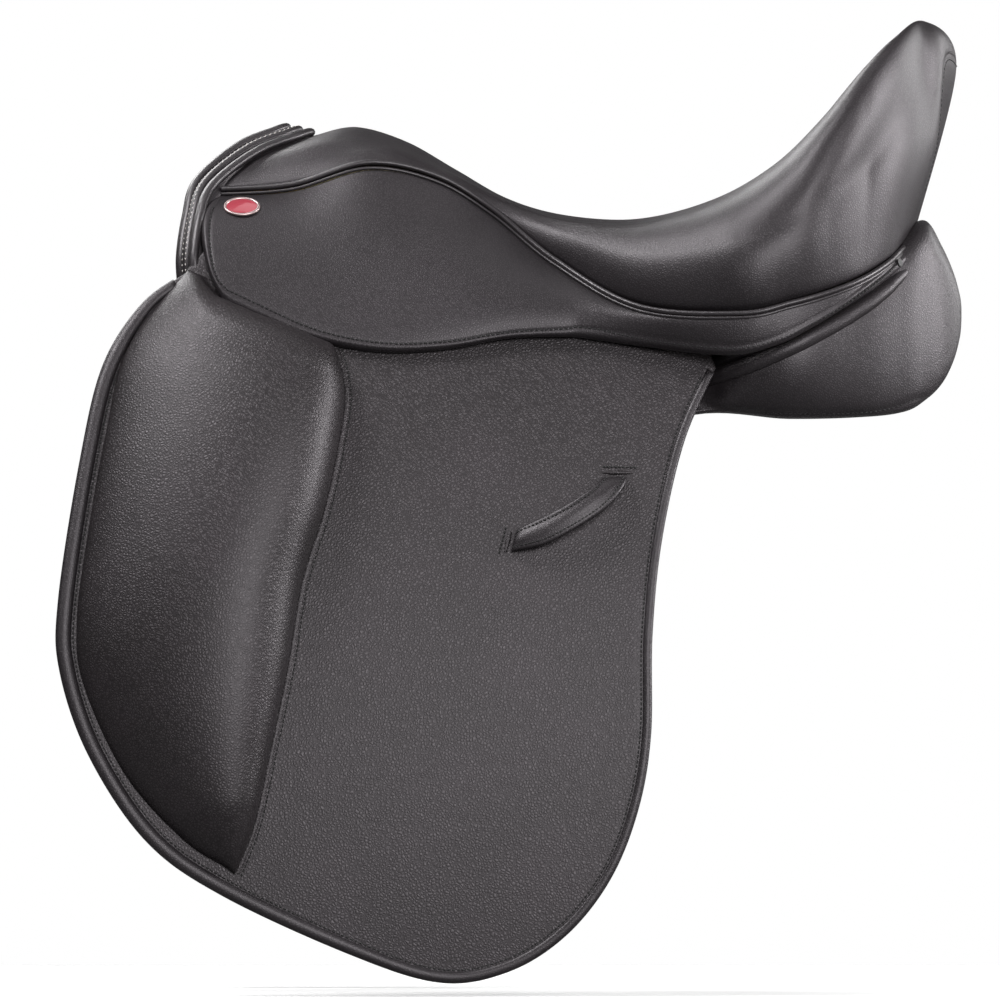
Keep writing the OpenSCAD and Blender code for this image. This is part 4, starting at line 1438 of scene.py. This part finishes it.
    def widths(self, distance: Points) -> Points:
        """Width of the skirt at distances from the front edge.

        Args:
            distance: the distances.
        Returns:
            A width for each.
        """
        share = np.linspace(0, 1, 25)
        grid = self.surface(distance, np.broadcast_to(share, (len(distance), len(share))))
        return np.linalg.norm(np.diff(grid, axis=1), axis=2).sum(axis=1)

    def drawn(self, distance: Points) -> Points:
        """How far the rolled edge is drawn together at distances from the front edge."""
        return np.minimum(1, self.widths(distance) / self.narrow)

    def rounded(self, far: Points, up: Points) -> tuple[Points, Points]:
        """Rounds the front lower corner.

        Args:
            far: distances from the front edge.
            up: distances from the lower edge.
        Returns:
            The moved distances.
        """
        a, b = self.corner - far, self.corner - up
        radius = np.maximum(np.hypot(a, b), 1e-6)
        squeeze = np.where((a > 0) & (b > 0), np.maximum(a, b) / radius, 1.0)
        return self.corner - a * squeeze, self.corner - b * squeeze

    def relief(self, edge: Points) -> Points:
        """Height of the rolled edge and its stitched groove at distances from the outline.

        Args:
            edge: the distances.
        Returns:
            A height for each, over the plain face.
        """
        turn = np.clip(1 - edge / self.roll, 0, 1)
        rolled = self.bead_height * hump(edge, self.bead_place, self.bead_width)
        rolled -= self.roll_drop * (1 - np.sqrt(1 - turn ** 2))
        return rolled - self.groove_depth * hump(edge, self.groove, self.groove_width)

    def face(self, far: Points, up: Points) -> tuple[Points, Points]:
        """Points of the skirt's outer face, before its edge is rolled.

        Args:
            far: distances from the front edge, a grid.
            up: distances from the lower edge, a grid.
        Returns:
            Points and their normals.
        """
        a, b = (moved.ravel() for moved in self.rounded(far, up))
        a = np.maximum(a, 0)
        share = np.clip(b / self.widths(a), 0, 1)
        points = self.surface(a, share[:, None])[:, 0].reshape(*far.shape, 3)
        normals = grid_normals(points)
        return points, normals * np.sign(normals @ self.OUTWARD)[..., None]

    def grid(self) -> tuple[Points, Points]:
        """Distances of the skirt's grid from its front edge and from its lower edge.

        Returns:
            The two grids of distances.
        """
        lines = np.array(self.edge_lines)
        far = np.concatenate([lines, np.linspace(self.even_lines, self.length, 112)])
        edge = lines * self.drawn(far)[:, None]
        last = edge[:, -1:]
        rest = np.linspace(0, 1, 19)[1:]
        up = np.concatenate([edge, last + rest * (self.widths(far)[:, None] - last)], axis=1)
        return np.broadcast_to(far[:, None], up.shape), up

    def shell(self) -> Shell:
        """The left skirt.

        Returns:
            Its shell.
        """
        far, up = self.grid()
        points, normals = self.face(far, up)
        edge = np.minimum(far, up)
        outer = points + normals * self.relief(edge)[..., None]
        thick = self.thickness - self.skived * ease(*self.skive_span, edge)
        inner = points - normals * thick[..., None]
        return slab(outer[:, ::-1], inner[:, ::-1])

    def stitches(self) -> Shell:
        """Stitches in the groove of the left skirt.

        Returns:
            The stitches' shell.
        """
        front = np.linspace(self.stitch_up, self.corner, 30)
        low = np.linspace(self.corner, self.length - self.stitch_end, 300)
        far = np.concatenate([np.full_like(front, self.groove), [self.groove], low])
        up = np.concatenate([front, [self.groove], self.groove * self.drawn(low)])
        beside = up[:, None] + self.normal_reach * np.array([-1, 0, 1])
        points, normals = self.face(np.broadcast_to(far[:, None], beside.shape), beside)
        return Stitch().row(points[:, 1], normals[:, 1])

    def badge(self) -> tuple[Shell, Shell]:
        """A plain oval badge on the left skirt.

        Returns:
            The plated rim and the enamel dome.
        """
        points, normals = self.face(*self.grid())
        miss = np.hypot(points[..., 0] - self.badge_place[0], points[..., 2] - self.badge_place[1])
        spot = np.unravel_index(np.argmin(miss), miss.shape)
        middle, up = points[spot], normals[spot]
        level = unit(np.array([-up[1], up[0], 0]))
        line = oval(*self.badge_half, 48) @ np.stack([level, np.cross(level, up)])
        ring = middle + up * self.badge_rim * self.badge_rim_lift + np.concatenate([line, line[:1]])
        rim = sweep(ring, np.broadcast_to(up, ring.shape), oval(self.badge_rim, self.badge_rim))
        foot = middle - up * self.badge_sunk
        rings = [foot + line * self.badge_rings[-2], foot + line]
        for k in self.badge_rings:
            rings.append(middle + up * (self.badge_edge + self.badge_dome * (1 - k * k)) + line * k)
        return rim, loft(np.stack(rings)[:, ::-1])

    def build(self) -> None:
        """Makes the skirts, their stitches and their badges."""
        first, last = np.asarray(self.bend, float) * MIRROR
        turn = hinge_band(first, last, self.bend_above, self.bend_below)
        nodes = ["skirt_band", "skirt_lobe", "skirt_tail"]
        Pair("skirt_leather", self.shell(), SMOOTH, nodes, DRAWN_CREASE).bent("skirt", *turn)
        Pair("skirt_stitches", self.stitches(), THREAD_WITH_HOLE_SHADE).bent("skirt", *turn)
        rim, dome = self.badge()
        Pair("badge_rim", rim, BADGE_RIM).on("skirt")
        Pair("badge_enamel", dome, BADGE_FACE, ["badge"]).on("skirt")


@dataclass
class Flap:
    """The outer flaps, with their hems under the skirt and their rolled edges."""

    knots: Knots = ((84, 34.7), (64, -10), (50, -71), (44, -130), (43, -192), (35, -238), (18, -280),
                    (-9, -314), (-44, -336), (-86, -342.6), (-142, -325), (-220, -289), (-266, -256),
                    (-301, -204), (-319, -152), (-320, -109), (-307, -23), (-293, 36), (-269, 74),
                    (-243, 92.7))
    hem: Knots = ((-241, 96), (-228, 110), (-132.5, 92.4), (-132.5, 77), (-45, 77), (76, 54))
    hinge: Knots = ((-243, 94), (84, 36))
    # How far above and below its hinge the flap would bend; the points are handed on but not used.
    bend_above: float = 3.0
    bend_below: float = 9.0
    rounding: float = 1.2
    pitch: float = 12.0
    outline_step: float = 7.27
    border_step: float = 2.0
    # Width of the rolled edge at shares of the way from the rear to the front.
    bead_share: Sequence[float] = (0, 0.3, 0.45, 0.55, 0.75, 0.94, 1)
    bead_width: Sequence[float] = (4.6, 5, 6.5, 8.2, 9, 8.6, 4.6)
    bead_span: Sequence[float] = (0.003, 0.992)
    bead_rise: float = 0.4
    bead_base: float = 0.4
    bead_sunk: float = 0.3
    bead_square: float = 0.8
    overhang: float = 0.8
    # The strip turns down round the flap's edge, in (inwards, up) steps from its arch's outer end, and comes
    # back up to a step from the inner end.
    wrap: Knots = ((0, -2.5), (0.6, -4.7), (2.0, -5.2))
    wrap_end: Sequence[float] = (-0.5, -1.5)
    stitch_span: Sequence[float] = (0.01, 0.955)
    stitch_inset: float = 1.1
    thread_lift: float = 0.15

    def edge(self, step: float) -> Points:
        """Flat outline of the flap from the hinge's rear round to its front, in points a step apart."""
        return even_path(along(self.knots, np.linspace(0, 1, 400)), step)

    def shell(self) -> Shell:
        """The left flap with its hem."""
        outline = np.concatenate([self.edge(self.outline_step), np.asarray(self.hem, float)])
        return cut_plate(outline, [], Layer.FLAP, self.rounding, self.pitch)

    def border(self, share: Points) -> tuple[Points, Points, Points]:
        """The line just inside the flap's edge.

        Args:
            share: shares of the way from the rear to the front.
        Returns:
            Flat points of the edge, their inward normals and the width of the rolled edge.
        """
        line = self.edge(self.border_step)
        at = share * (len(line) - 1)
        index = np.arange(len(line))
        edge = np.stack([np.interp(at, index, line[:, k]) for k in range(2)], axis=1)
        return edge, inward(edge), np.interp(share, self.bead_share, self.bead_width)

    def bead(self) -> Shell:
        """The rolled edge of the left flap.

        Returns:
            Its shell.
        """
        edge, into, width = self.border(np.linspace(*self.bead_span, 330))
        turn = np.linspace(0, math.pi, 10)
        wrap = np.subtract(self.wrap, (self.overhang, 0))
        rings = []
        for p, n, w in zip(edge, into, width):
            arch = (w - self.overhang) / 2 + (w + self.overhang) / 2 * np.cos(turn)
            rise = (self.bead_rise * w + self.bead_base) * np.sin(turn) ** self.bead_square - self.bead_sunk
            end = np.add([[w, 0]], self.wrap_end)
            d, h = np.concatenate([np.stack([arch, rise], axis=1), wrap, end]).T
            rings.append(layer_point(p + np.outer(d, n), FLAP_FACE + h))
        return loft(np.stack(rings))

    def edge_stitches(self) -> Shell:
        """Stitches in the fold inside the rolled edge of the left flap.

        Returns:
            The stitches' shell.
        """
        edge, into, width = self.border(np.linspace(*self.stitch_span, 330))
        flat = edge + into * (width + self.stitch_inset)[:, None]
        return Stitch().on_layer(flat, FLAP_FACE + self.thread_lift)

    def build(self) -> None:
        """Makes the flaps and their edges."""
        first, last = layer_point(np.asarray(self.hinge, float), FLAP_FACE)
        turn = hinge_band(first, last, self.bend_above, self.bend_below)
        Pair("flap_leather", self.shell(), PEBBLED, ["flap", "flap_hem"], CUT_CREASE).bent("flap", *turn)
        Pair("flap_bead", self.bead(), SMOOTH, ["edge_roll"], crease_angle=80).on("flap")
        Pair("flap_stitches", self.edge_stitches(), THREAD_WITH_HOLE_SHADE).on("flap")


@dataclass
class KneeBlock:
    """The long padded blocks along the front of the flaps."""

    front: Knots = ((-218, -272), (-243, -256), (-279, -216), (-305, -160), (-309, -120), (-302, -65),
                    (-292, -8), (-278, 48), (-241, 95))
    seam: Knots = ((-212, -277), (-200, -246), (-190, -200), (-180, -152), (-171, -98), (-157, -52),
                   (-148, -9), (-145, 22), (-154, 56))
    seam_span: Sequence[float] = (0.01, 0.99)
    height: float = 38.0
    # The section across: a long slope from the front edge, and a steep wall at the rear seam.
    section: float = 1.9
    front_slope: float = 0.72
    rear_wall: float = 0.34
    # The height along the block: from its share at the foot to its crest, which lies below the skirt.
    foot_share: float = 0.3
    crest_turn: float = 130.0
    crest_place: float = 1.15
    crest_fullness: float = 0.8
    foot_round: float = 6.0
    # Where the skirt's edge crosses the block, as places along and heights. The block rounds off below it.
    skirt_x: Sequence[float] = (-250, -243, -236, -231, -224, -200, -163, -145, -120)
    skirt_z: Sequence[float] = (125, 112, 98, 87, 78, 66, 51.5, 47, 44)
    shoulder: float = 26.0
    top_round: float = 0.06
    hide: float = 0.4
    glue: float = 0.1
    # Rows of the grid, closer together at the foot and the top: spans of the way up, with their counts.
    row_spans: Sequence[tuple[float, float, int]] = ((0, 0.1, 12), (0.115, 0.9, 70), (0.91, 1, 16))
    # The sewn margin: its width, and its section by shares of half the width and by heights.
    seam_strip: float = 3.4
    strip_section: Knots = ((1, -0.5), (1, 0.2), (0.8, 0.5), (0, 0.8), (-0.8, 0.5), (-1, 0.2), (-1, -0.5))
    strip_tuck: float = 0.6
    stitch_gap: float = 0.8
    thread_lift: float = 0.15

    def flat(self, share: Points, up: Points) -> Points:
        """Flat places on the flap, by the share across from the front and up from the lower point."""
        low, high = along(self.front, up), along(self.seam, up)
        return low + share[..., None] * (high - low)

    def rise(self, u: Points, t: Points) -> Points:
        """Height over the flap.

        Args:
            u: shares across, from the front edge to the rear seam.
            t: shares up, from the lower point to the top.
        Returns:
            Heights.
        """
        across = np.maximum(u, 1e-6) ** self.front_slope * np.maximum(1 - u, 0) ** self.rear_wall
        crest = np.sin(np.radians(self.crest_turn * np.minimum(self.crest_place * t, 1)))
        up = self.foot_share + (1 - self.foot_share) * crest ** self.crest_fullness
        flat = self.flat(u, t)
        below = np.interp(flat[..., 0], self.skirt_x, self.skirt_z) - flat[..., 1]
        tuck = 1 - np.clip(below / self.shoulder, 0, 1)
        over = 1 - np.clip((1 - t) / self.top_round, 0, 1)
        tip = np.sqrt(np.clip(self.foot_round * t, 0, 1)) * np.sqrt((1 - tuck ** 2) * (1 - over ** 2))
        return self.height * self.section * across * up * tip

    def shell(self) -> Shell:
        """The left block, with finer rows at its foot and its top.

        Returns:
            Its shell.
        """
        across = (1 - np.cos(np.linspace(0, math.pi, 49))) / 2
        up = np.concatenate([np.linspace(*span) for span in self.row_spans])
        u, t = np.meshgrid(across, up)
        flat = self.flat(u, t)
        outer = layer_point(flat, FLAP_FACE + self.hide)
        outer = outer + layer_normal(flat[..., 1]) * self.rise(u, t)[..., None]
        return slab(outer, layer_point(flat, FLAP_FACE + self.glue))

    def seam_line(self, away: float) -> tuple[Points, Points]:
        """A line beside the rear seam.

        Args:
            away: distance behind the seam.
        Returns:
            Points on the flap's face and their normals.
        """
        flat = along(self.seam, np.linspace(*self.seam_span, 200))
        flat = flat + inward(flat) * away
        return layer_point(flat, FLAP_FACE), layer_normal(flat[:, 1])

    def strip(self) -> Shell:
        """The sewn margin behind the left block.

        Returns:
            Its shell.
        """
        half = self.seam_strip / 2
        line, up = self.seam_line(half - self.strip_tuck)
        return sweep(line, up, np.array(self.strip_section) * (half, 1))

    def build(self) -> None:
        """Makes the blocks, their margins and their stitches."""
        for made in Pair("knee_block_pad", self.shell(), PEBBLED, ["knee_block"], crease_angle=75).on("flap"):
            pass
        Pair("knee_block_margin", self.strip(), PEBBLED).on("flap")
        line, up = self.seam_line(self.seam_strip + self.stitch_gap)
        Pair("knee_block_stitches", Stitch().row(line + up * self.thread_lift, up), THREAD_WITH_HOLE_SHADE).on("flap")


@dataclass
class Keeper:
    """The leather loops on the flaps that hold the stirrup leather."""

    low: Knots = ((-42, -79.3), (-22.3, -76.6), (-2.7, -67.7), (15.1, -56.2), (25.7, -43.7), (29.5, -34))
    high: Knots = ((-38.5, -66), (-21, -59.5), (-6, -52.3), (5, -45), (11, -39), (14.5, -34))
    gap: float = 11.0
    gap_fullness: float = 0.7
    bed: float = 0.3
    thickness: float = 3.5
    crown: float = 1.0
    edge_round: float = 1.2
    edge_fullness: float = 0.4
    groove: float = 0.5
    groove_width: float = 0.04
    across_lines: Sequence[float] = (0, 0.03, 0.1, 0.16, 0.3, 0.5, 0.7, 0.84, 0.9, 0.97, 1)
    stitch_rows: Sequence[float] = (0.16, 0.84)
    stitch_span: Sequence[float] = (0.02, 0.98)
    stitch: Stitch = Stitch(pitch=2.6, length=2.0)
    thread_lift: float = 0.1
    # Ends of the two slits that the loop goes through, and of the stitched bars beside them.
    slits: Knots = ((-43.5, -80, -39.8, -65.5), (13, -32.6, 31, -32.6))
    bars: Knots = ((-49.5, -79, -45.5, -64.5), (15, -26.5, 34, -27))
    bar_stitch: Stitch = Stitch(pitch=2.4, length=2.2, width=1.2, height=1.0)
    bar_lift: float = 0.2
    # The puckered lip: its half sizes, its place between slit and bar, and how far its ends are cut short.
    lip: Sequence[float] = (1.5, 1.3)
    lip_place: float = 0.42
    lip_cut: float = 0.12
    lip_fullness: float = 0.5

    def place(self, u: Points, v: Points, lift: Points) -> Points:
        """Points of the left loop.

        Args:
            u: shares along the loop.
            v: shares across it.
            lift: heights over its inner face.
        Returns:
            A point for each.
        """
        low, high = along(self.low, u), along(self.high, u)
        flat = low + v[..., None] * (high - low)
        rise = self.gap * np.sin(math.pi * np.clip(u, 0, 1)) ** self.gap_fullness
        up = layer_normal(flat[..., 1]) * (rise + lift)[..., None]
        return layer_point(flat, FLAP_FACE + self.bed) + up

    def shell(self) -> Shell:
        """The left loop.

        Returns:
            Its shell.
        """
        u, v = np.meshgrid(np.linspace(0, 1, 49), np.array(self.across_lines), indexing="ij")
        arch = np.sin(math.pi * v)
        lift = self.thickness - self.edge_round * (1 - arch ** self.edge_fullness) + self.crown * arch
        for row in self.stitch_rows:
            lift -= self.groove * hump(v, row, self.groove_width)
        return slab(self.place(u, v, lift), self.place(u, v, np.zeros_like(v)))

    def stitches(self) -> Shell:
        """Stitches along both edges of the left loop and its end bars.

        Returns:
            The stitches' shell.
        """
        u = np.linspace(*self.stitch_span, 80)
        up = layer_normal(along(self.low, u)[:, 1])
        rows = []
        for v in self.stitch_rows:
            line = self.place(u, np.full_like(u, v), np.full_like(u, self.thickness + self.thread_lift))
            rows.append(self.stitch.row(line, up))
        for bar in self.bars:
            flat = np.linspace(bar[:2], bar[2:], 20)
            rows.append(self.bar_stitch.on_layer(flat, FLAP_FACE + self.bar_lift))
        return Shell.joined(rows)

    def lips(self) -> Shell:
        """The puckered leather beside the slits of the left loop.

        Returns:
            Its shell.
        """
        shells = []
        for slit, bar in zip(np.asarray(self.slits), np.asarray(self.bars)):
            ends = slit + self.lip_place * (bar - slit)
            flat = np.linspace(ends[:2], ends[2:], 24)
            swell = np.sin(np.linspace(self.lip_cut, math.pi - self.lip_cut, 24)) ** self.lip_fullness
            section = oval(*self.lip) * swell[:, None, None]
            shells.append(sweep(layer_point(flat, FLAP_FACE), layer_normal(flat[:, 1]), section))
        return Shell.joined(shells)

    def build(self) -> None:
        """Makes the loops and their stitches."""
        Pair("keeper_loop", self.shell(), SMOOTH, ["keeper"], crease_angle=60).on("flap")
        Pair("keeper_lips", self.lips(), PEBBLED).on("flap")
        Pair("keeper_stitches", self.stitches(), THREAD_WITH_HOLE_SHADE).on("flap")


@dataclass
class Girthing:
    """What lies under the flap: the sweat flaps, the girth webs and the girth straps."""

    sweat_knots: Knots = ((-205, 66), (-222, -20), (-228, -110), (-205, -200), (-150, -255), (-70, -272),
                          (0, -240), (34, -160), (44, -60), (58, 22))
    sweat_rounding: float = 0.9
    sweat_inset: float = 5.0
    sweat_step: float = 4.0
    sweat_skip: int = 2
    strap_places: Sequence[tuple[str, float]] = (("front", -108.0), ("rear", -22.0))
    strap_width: float = 27.0
    strap_top: float = 39.0
    strap_shoulder: float = -281.0
    strap_tip: float = -295.0
    strap_rounding: float = 1.0
    # The tip is cut to a blunt point: a corner between shoulder and tip, by its share of the half width.
    corner_share: float = 0.62
    corner_drop: float = 8.0
    web_low: float = 5.0
    web_high: float = 57.0
    web_inset: float = 0.5
    web_rounding: float = 0.5
    holes: int = 8
    hole_d: float = 6.5
    hole_pitch: float = 25.0
    lowest_hole: float = -273.0
    stitch_inset: float = 3.4
    stitch_step: float = 3.0
    sweat_thread_lift: float = 0.1
    strap_thread_lift: float = 0.05
    pitch: float = 14.0

    def sweat_shell(self) -> Shell:
        """The left sweat flap."""
        edge = along(self.sweat_knots, np.linspace(0, 1, 90))
        return cut_plate(edge, [], Layer.SWEAT_FLAP, self.sweat_rounding, self.pitch)

    def sweat_stitches(self) -> Shell:
        """Stitches inside the edge of the left sweat flap.

        Returns:
            The stitches' shell.
        """
        edge = even_path(along(self.sweat_knots, np.linspace(0, 1, 200)), self.sweat_step)
        flat = (edge - inward(edge) * self.sweat_inset)[self.sweat_skip:-self.sweat_skip]
        return Stitch().on_layer(flat, Layer.SWEAT_FLAP.outer + self.sweat_thread_lift)

    def strap_shell(self, x: float) -> Shell:
        """The left girth strap at a place along the saddle.

        Args:
            x: the place of its middle.
        Returns:
            Its shell.
        """
        half, shoulder = self.strap_width / 2, self.strap_shoulder
        corner, drop = half * self.corner_share, shoulder - self.corner_drop
        right = [(half, self.strap_top), (half, shoulder), (corner, drop)]
        left = [(-out, z) for out, z in reversed(right)]
        outline = np.array([left[-1]] + right + [(0, self.strap_tip)] + left[:-1]) + (x, 0)
        round_hole = oval(self.hole_d / 2, self.hole_d / 2, 20)
        holes = [round_hole + (x, self.lowest_hole + k * self.hole_pitch) for k in range(self.holes)]
        return cut_plate(outline, holes, Layer.GIRTH_STRAP, self.strap_rounding, self.pitch)

    def strap_stitches(self, x: float) -> Shell:
        """Stitches along both edges and across the head of the left strap.

        Args:
            x: the place of its middle.
        Returns:
            The stitches' shell.
        """
        side = self.strap_width / 2 - self.stitch_inset
        high, low = self.strap_top - self.stitch_inset, self.strap_shoulder
        corners = np.array([(x - side, low), (x - side, high), (x + side, high), (x + side, low)])
        flat = even_path(corners, self.stitch_step)
        return Stitch().on_layer(flat, Layer.GIRTH_STRAP.outer + self.strap_thread_lift)

    def web_shell(self, x: float) -> Shell:
        """The left girth web at a place along the saddle.

        Args:
            x: the place of its middle.
        Returns:
            Its shell.
        """
        half = self.strap_width / 2 - self.web_inset
        outline = np.array([(x - half, self.web_high), (x + half, self.web_high), (x + half, self.web_low),
                            (x - half, self.web_low)], float)
        return cut_plate(outline, [], Layer.GIRTH_WEB, self.web_rounding, self.pitch)

    def build(self) -> None:
        """Makes the sweat flaps, the webs and the straps."""
        Pair("sweat_flap_hide", self.sweat_shell(), LINING, ["sweat_flap"], CUT_CREASE).on(ROOT)
        Pair("sweat_flap_stitches", self.sweat_stitches(), THREAD_WITH_HOLE_SHADE).on(ROOT)
        for name, x in self.strap_places:
            body = f"{name}_strap"
            web, strap = self.web_shell(x), self.strap_shell(x)
            Pair(f"girth_webbing_{name}", web, WEB, [f"girth_web_{name}"], CUT_CREASE).on(ROOT)
            Pair(f"girth_billet_{name}", strap, STRAP, [f"girth_strap_{name}"], CUT_CREASE).on(body)
            Pair(f"billet_stitches_{name}", self.strap_stitches(x), THREAD_WITH_HOLE_SHADE).on(body)


@dataclass
class Hardware:
    """The tree, the plates, the bars and the nails: the frame's own meshes, with their finishes."""

    finishes: Sequence[tuple[str, Finish]] = (
        ("tree", BEECH), ("head_plate", SPRING_STEEL), ("skirt_nails", JAPANNED),
        ("spring_rail", SPRING_STEEL), ("stirrup_bar", STAINLESS), ("bar_catch", STAINLESS),
        ("catch_pin", STAINLESS), ("bar_rivets", STAINLESS))

    def build(self) -> None:
        """Dresses each mesh whose name starts with one of the stems."""
        for node in list(bpy.data.objects):
            for stem, finish in self.finishes:
                if node.type == "MESH" and node.name.startswith(stem):
                    node.data.materials.clear()
                    node.data.materials.append(finish.material())
                    LOG.info("%s: %s", node.name, finish.name)


# Stage

@dataclass
class Studio:
    """A white room with soft boxes, and a long lens square to the left side."""

    picture_width: float = 0.615
    subject_distance: float = 21.85
    camera_place: Sequence[float] = (-0.049, -22.0, -0.047)
    sensor: float = 36.0
    # The furthest distance that is drawn, in distances of the saddle.
    clip_share: float = 10.0
    floor_z: float = -0.352
    floor_size: float = 2.6
    # Each box: place, size and power.
    boxes: Sequence[tuple[Sequence[float], float, float]] = (
        ((-1.2, -0.6, 1.6), 0.7, 46.0), ((1.7, -0.35, 0.6), 0.9, 50.0), ((1.4, 0.9, 0.5), 0.8, 12.0),
        ((0.9, -4.2, 1.1), 1.6, 165.0), ((-1.0, 1.3, 1.3), 1.0, 26.0),
        ((0.2, -0.1, 2.0), 1.2, 6.0))
    ambient: float = 0.06

    def build(self) -> None:
        """Makes the camera, the lights, the background and the floor."""
        scene = bpy.context.scene
        scene.view_settings.view_transform = "Standard"
        lens = bpy.data.cameras.new("camera")
        lens.sensor_width = self.sensor
        lens.lens = self.sensor * self.subject_distance / self.picture_width
        lens.clip_end = self.clip_share * self.subject_distance
        camera = bpy.data.objects.new("camera", lens)
        camera.location = self.camera_place
        camera.rotation_euler = (math.pi / 2, 0, 0)
        scene.collection.objects.link(camera)
        scene.camera = camera
        for k, (place, size, power) in enumerate(self.boxes):
            self.build_box(k, place, size, power)
        self.build_world(scene)
        self.build_floor()

    def build_box(self, number: int, place: Sequence[float], size: float, power: float) -> None:
        """Makes a soft box that faces the saddle.

        Args:
            number: the box's number.
            place: its middle.
            size: length of its sides.
            power: its power.
        """
        light = bpy.data.lights.new(f"soft_box_{number}", "AREA")
        light.shape = "SQUARE"
        light.size = size
        light.energy = power
        box = bpy.data.objects.new(light.name, light)
        box.location = place
        box.rotation_euler = (-box.location).to_track_quat("-Z", "Y").to_euler()
        bpy.context.scene.collection.objects.link(box)

    def build_world(self, scene: bpy.types.Scene) -> None:
        """Makes a background that is white to the eye and a soft grey to the leather.

        Args:
            scene: the scene that it surrounds.
        """
        world = bpy.data.worlds.new("studio")
        scene.world = world
        world.use_nodes = True
        g = Graph(world.node_tree)
        seen = g.add("LightPath", {}, "Is Camera Ray")
        strength = g.add("MapRange", {"Value": seen, "To Min": self.ambient, "To Max": 1.0})
        g.feed(world.node_tree.nodes["Background"], {"Color": (1, 1, 1, 1), "Strength": strength})

    def build_floor(self) -> None:
        """Makes the pale floor."""
        half = self.floor_size / 2
        corners = [(-half, -half), (half, -half), (half, half), (-half, half)]
        mesh = bpy.data.meshes.new("floor")
        mesh.from_pydata([(x, y, self.floor_z) for x, y in corners], [], [(0, 1, 2, 3)])
        mesh.materials.append(PAPER.material())
        floor = bpy.data.objects.new("floor", mesh)
        bpy.context.scene.collection.objects.link(floor)


def main() -> None:
    """Builds and dresses the saddle, then its stage."""
    logging.basicConfig(level=logging.INFO, format="%(message)s")
    seat = Seat()
    for part in (seat, Facing(), Panel(), Skirt(seat), Flap(), KneeBlock(), Keeper(), Girthing(), Hardware()):
        LOG.info("building %s", type(part).__name__)
        part.build()
    Studio().build()


if __name__ == "__main__":
    main()
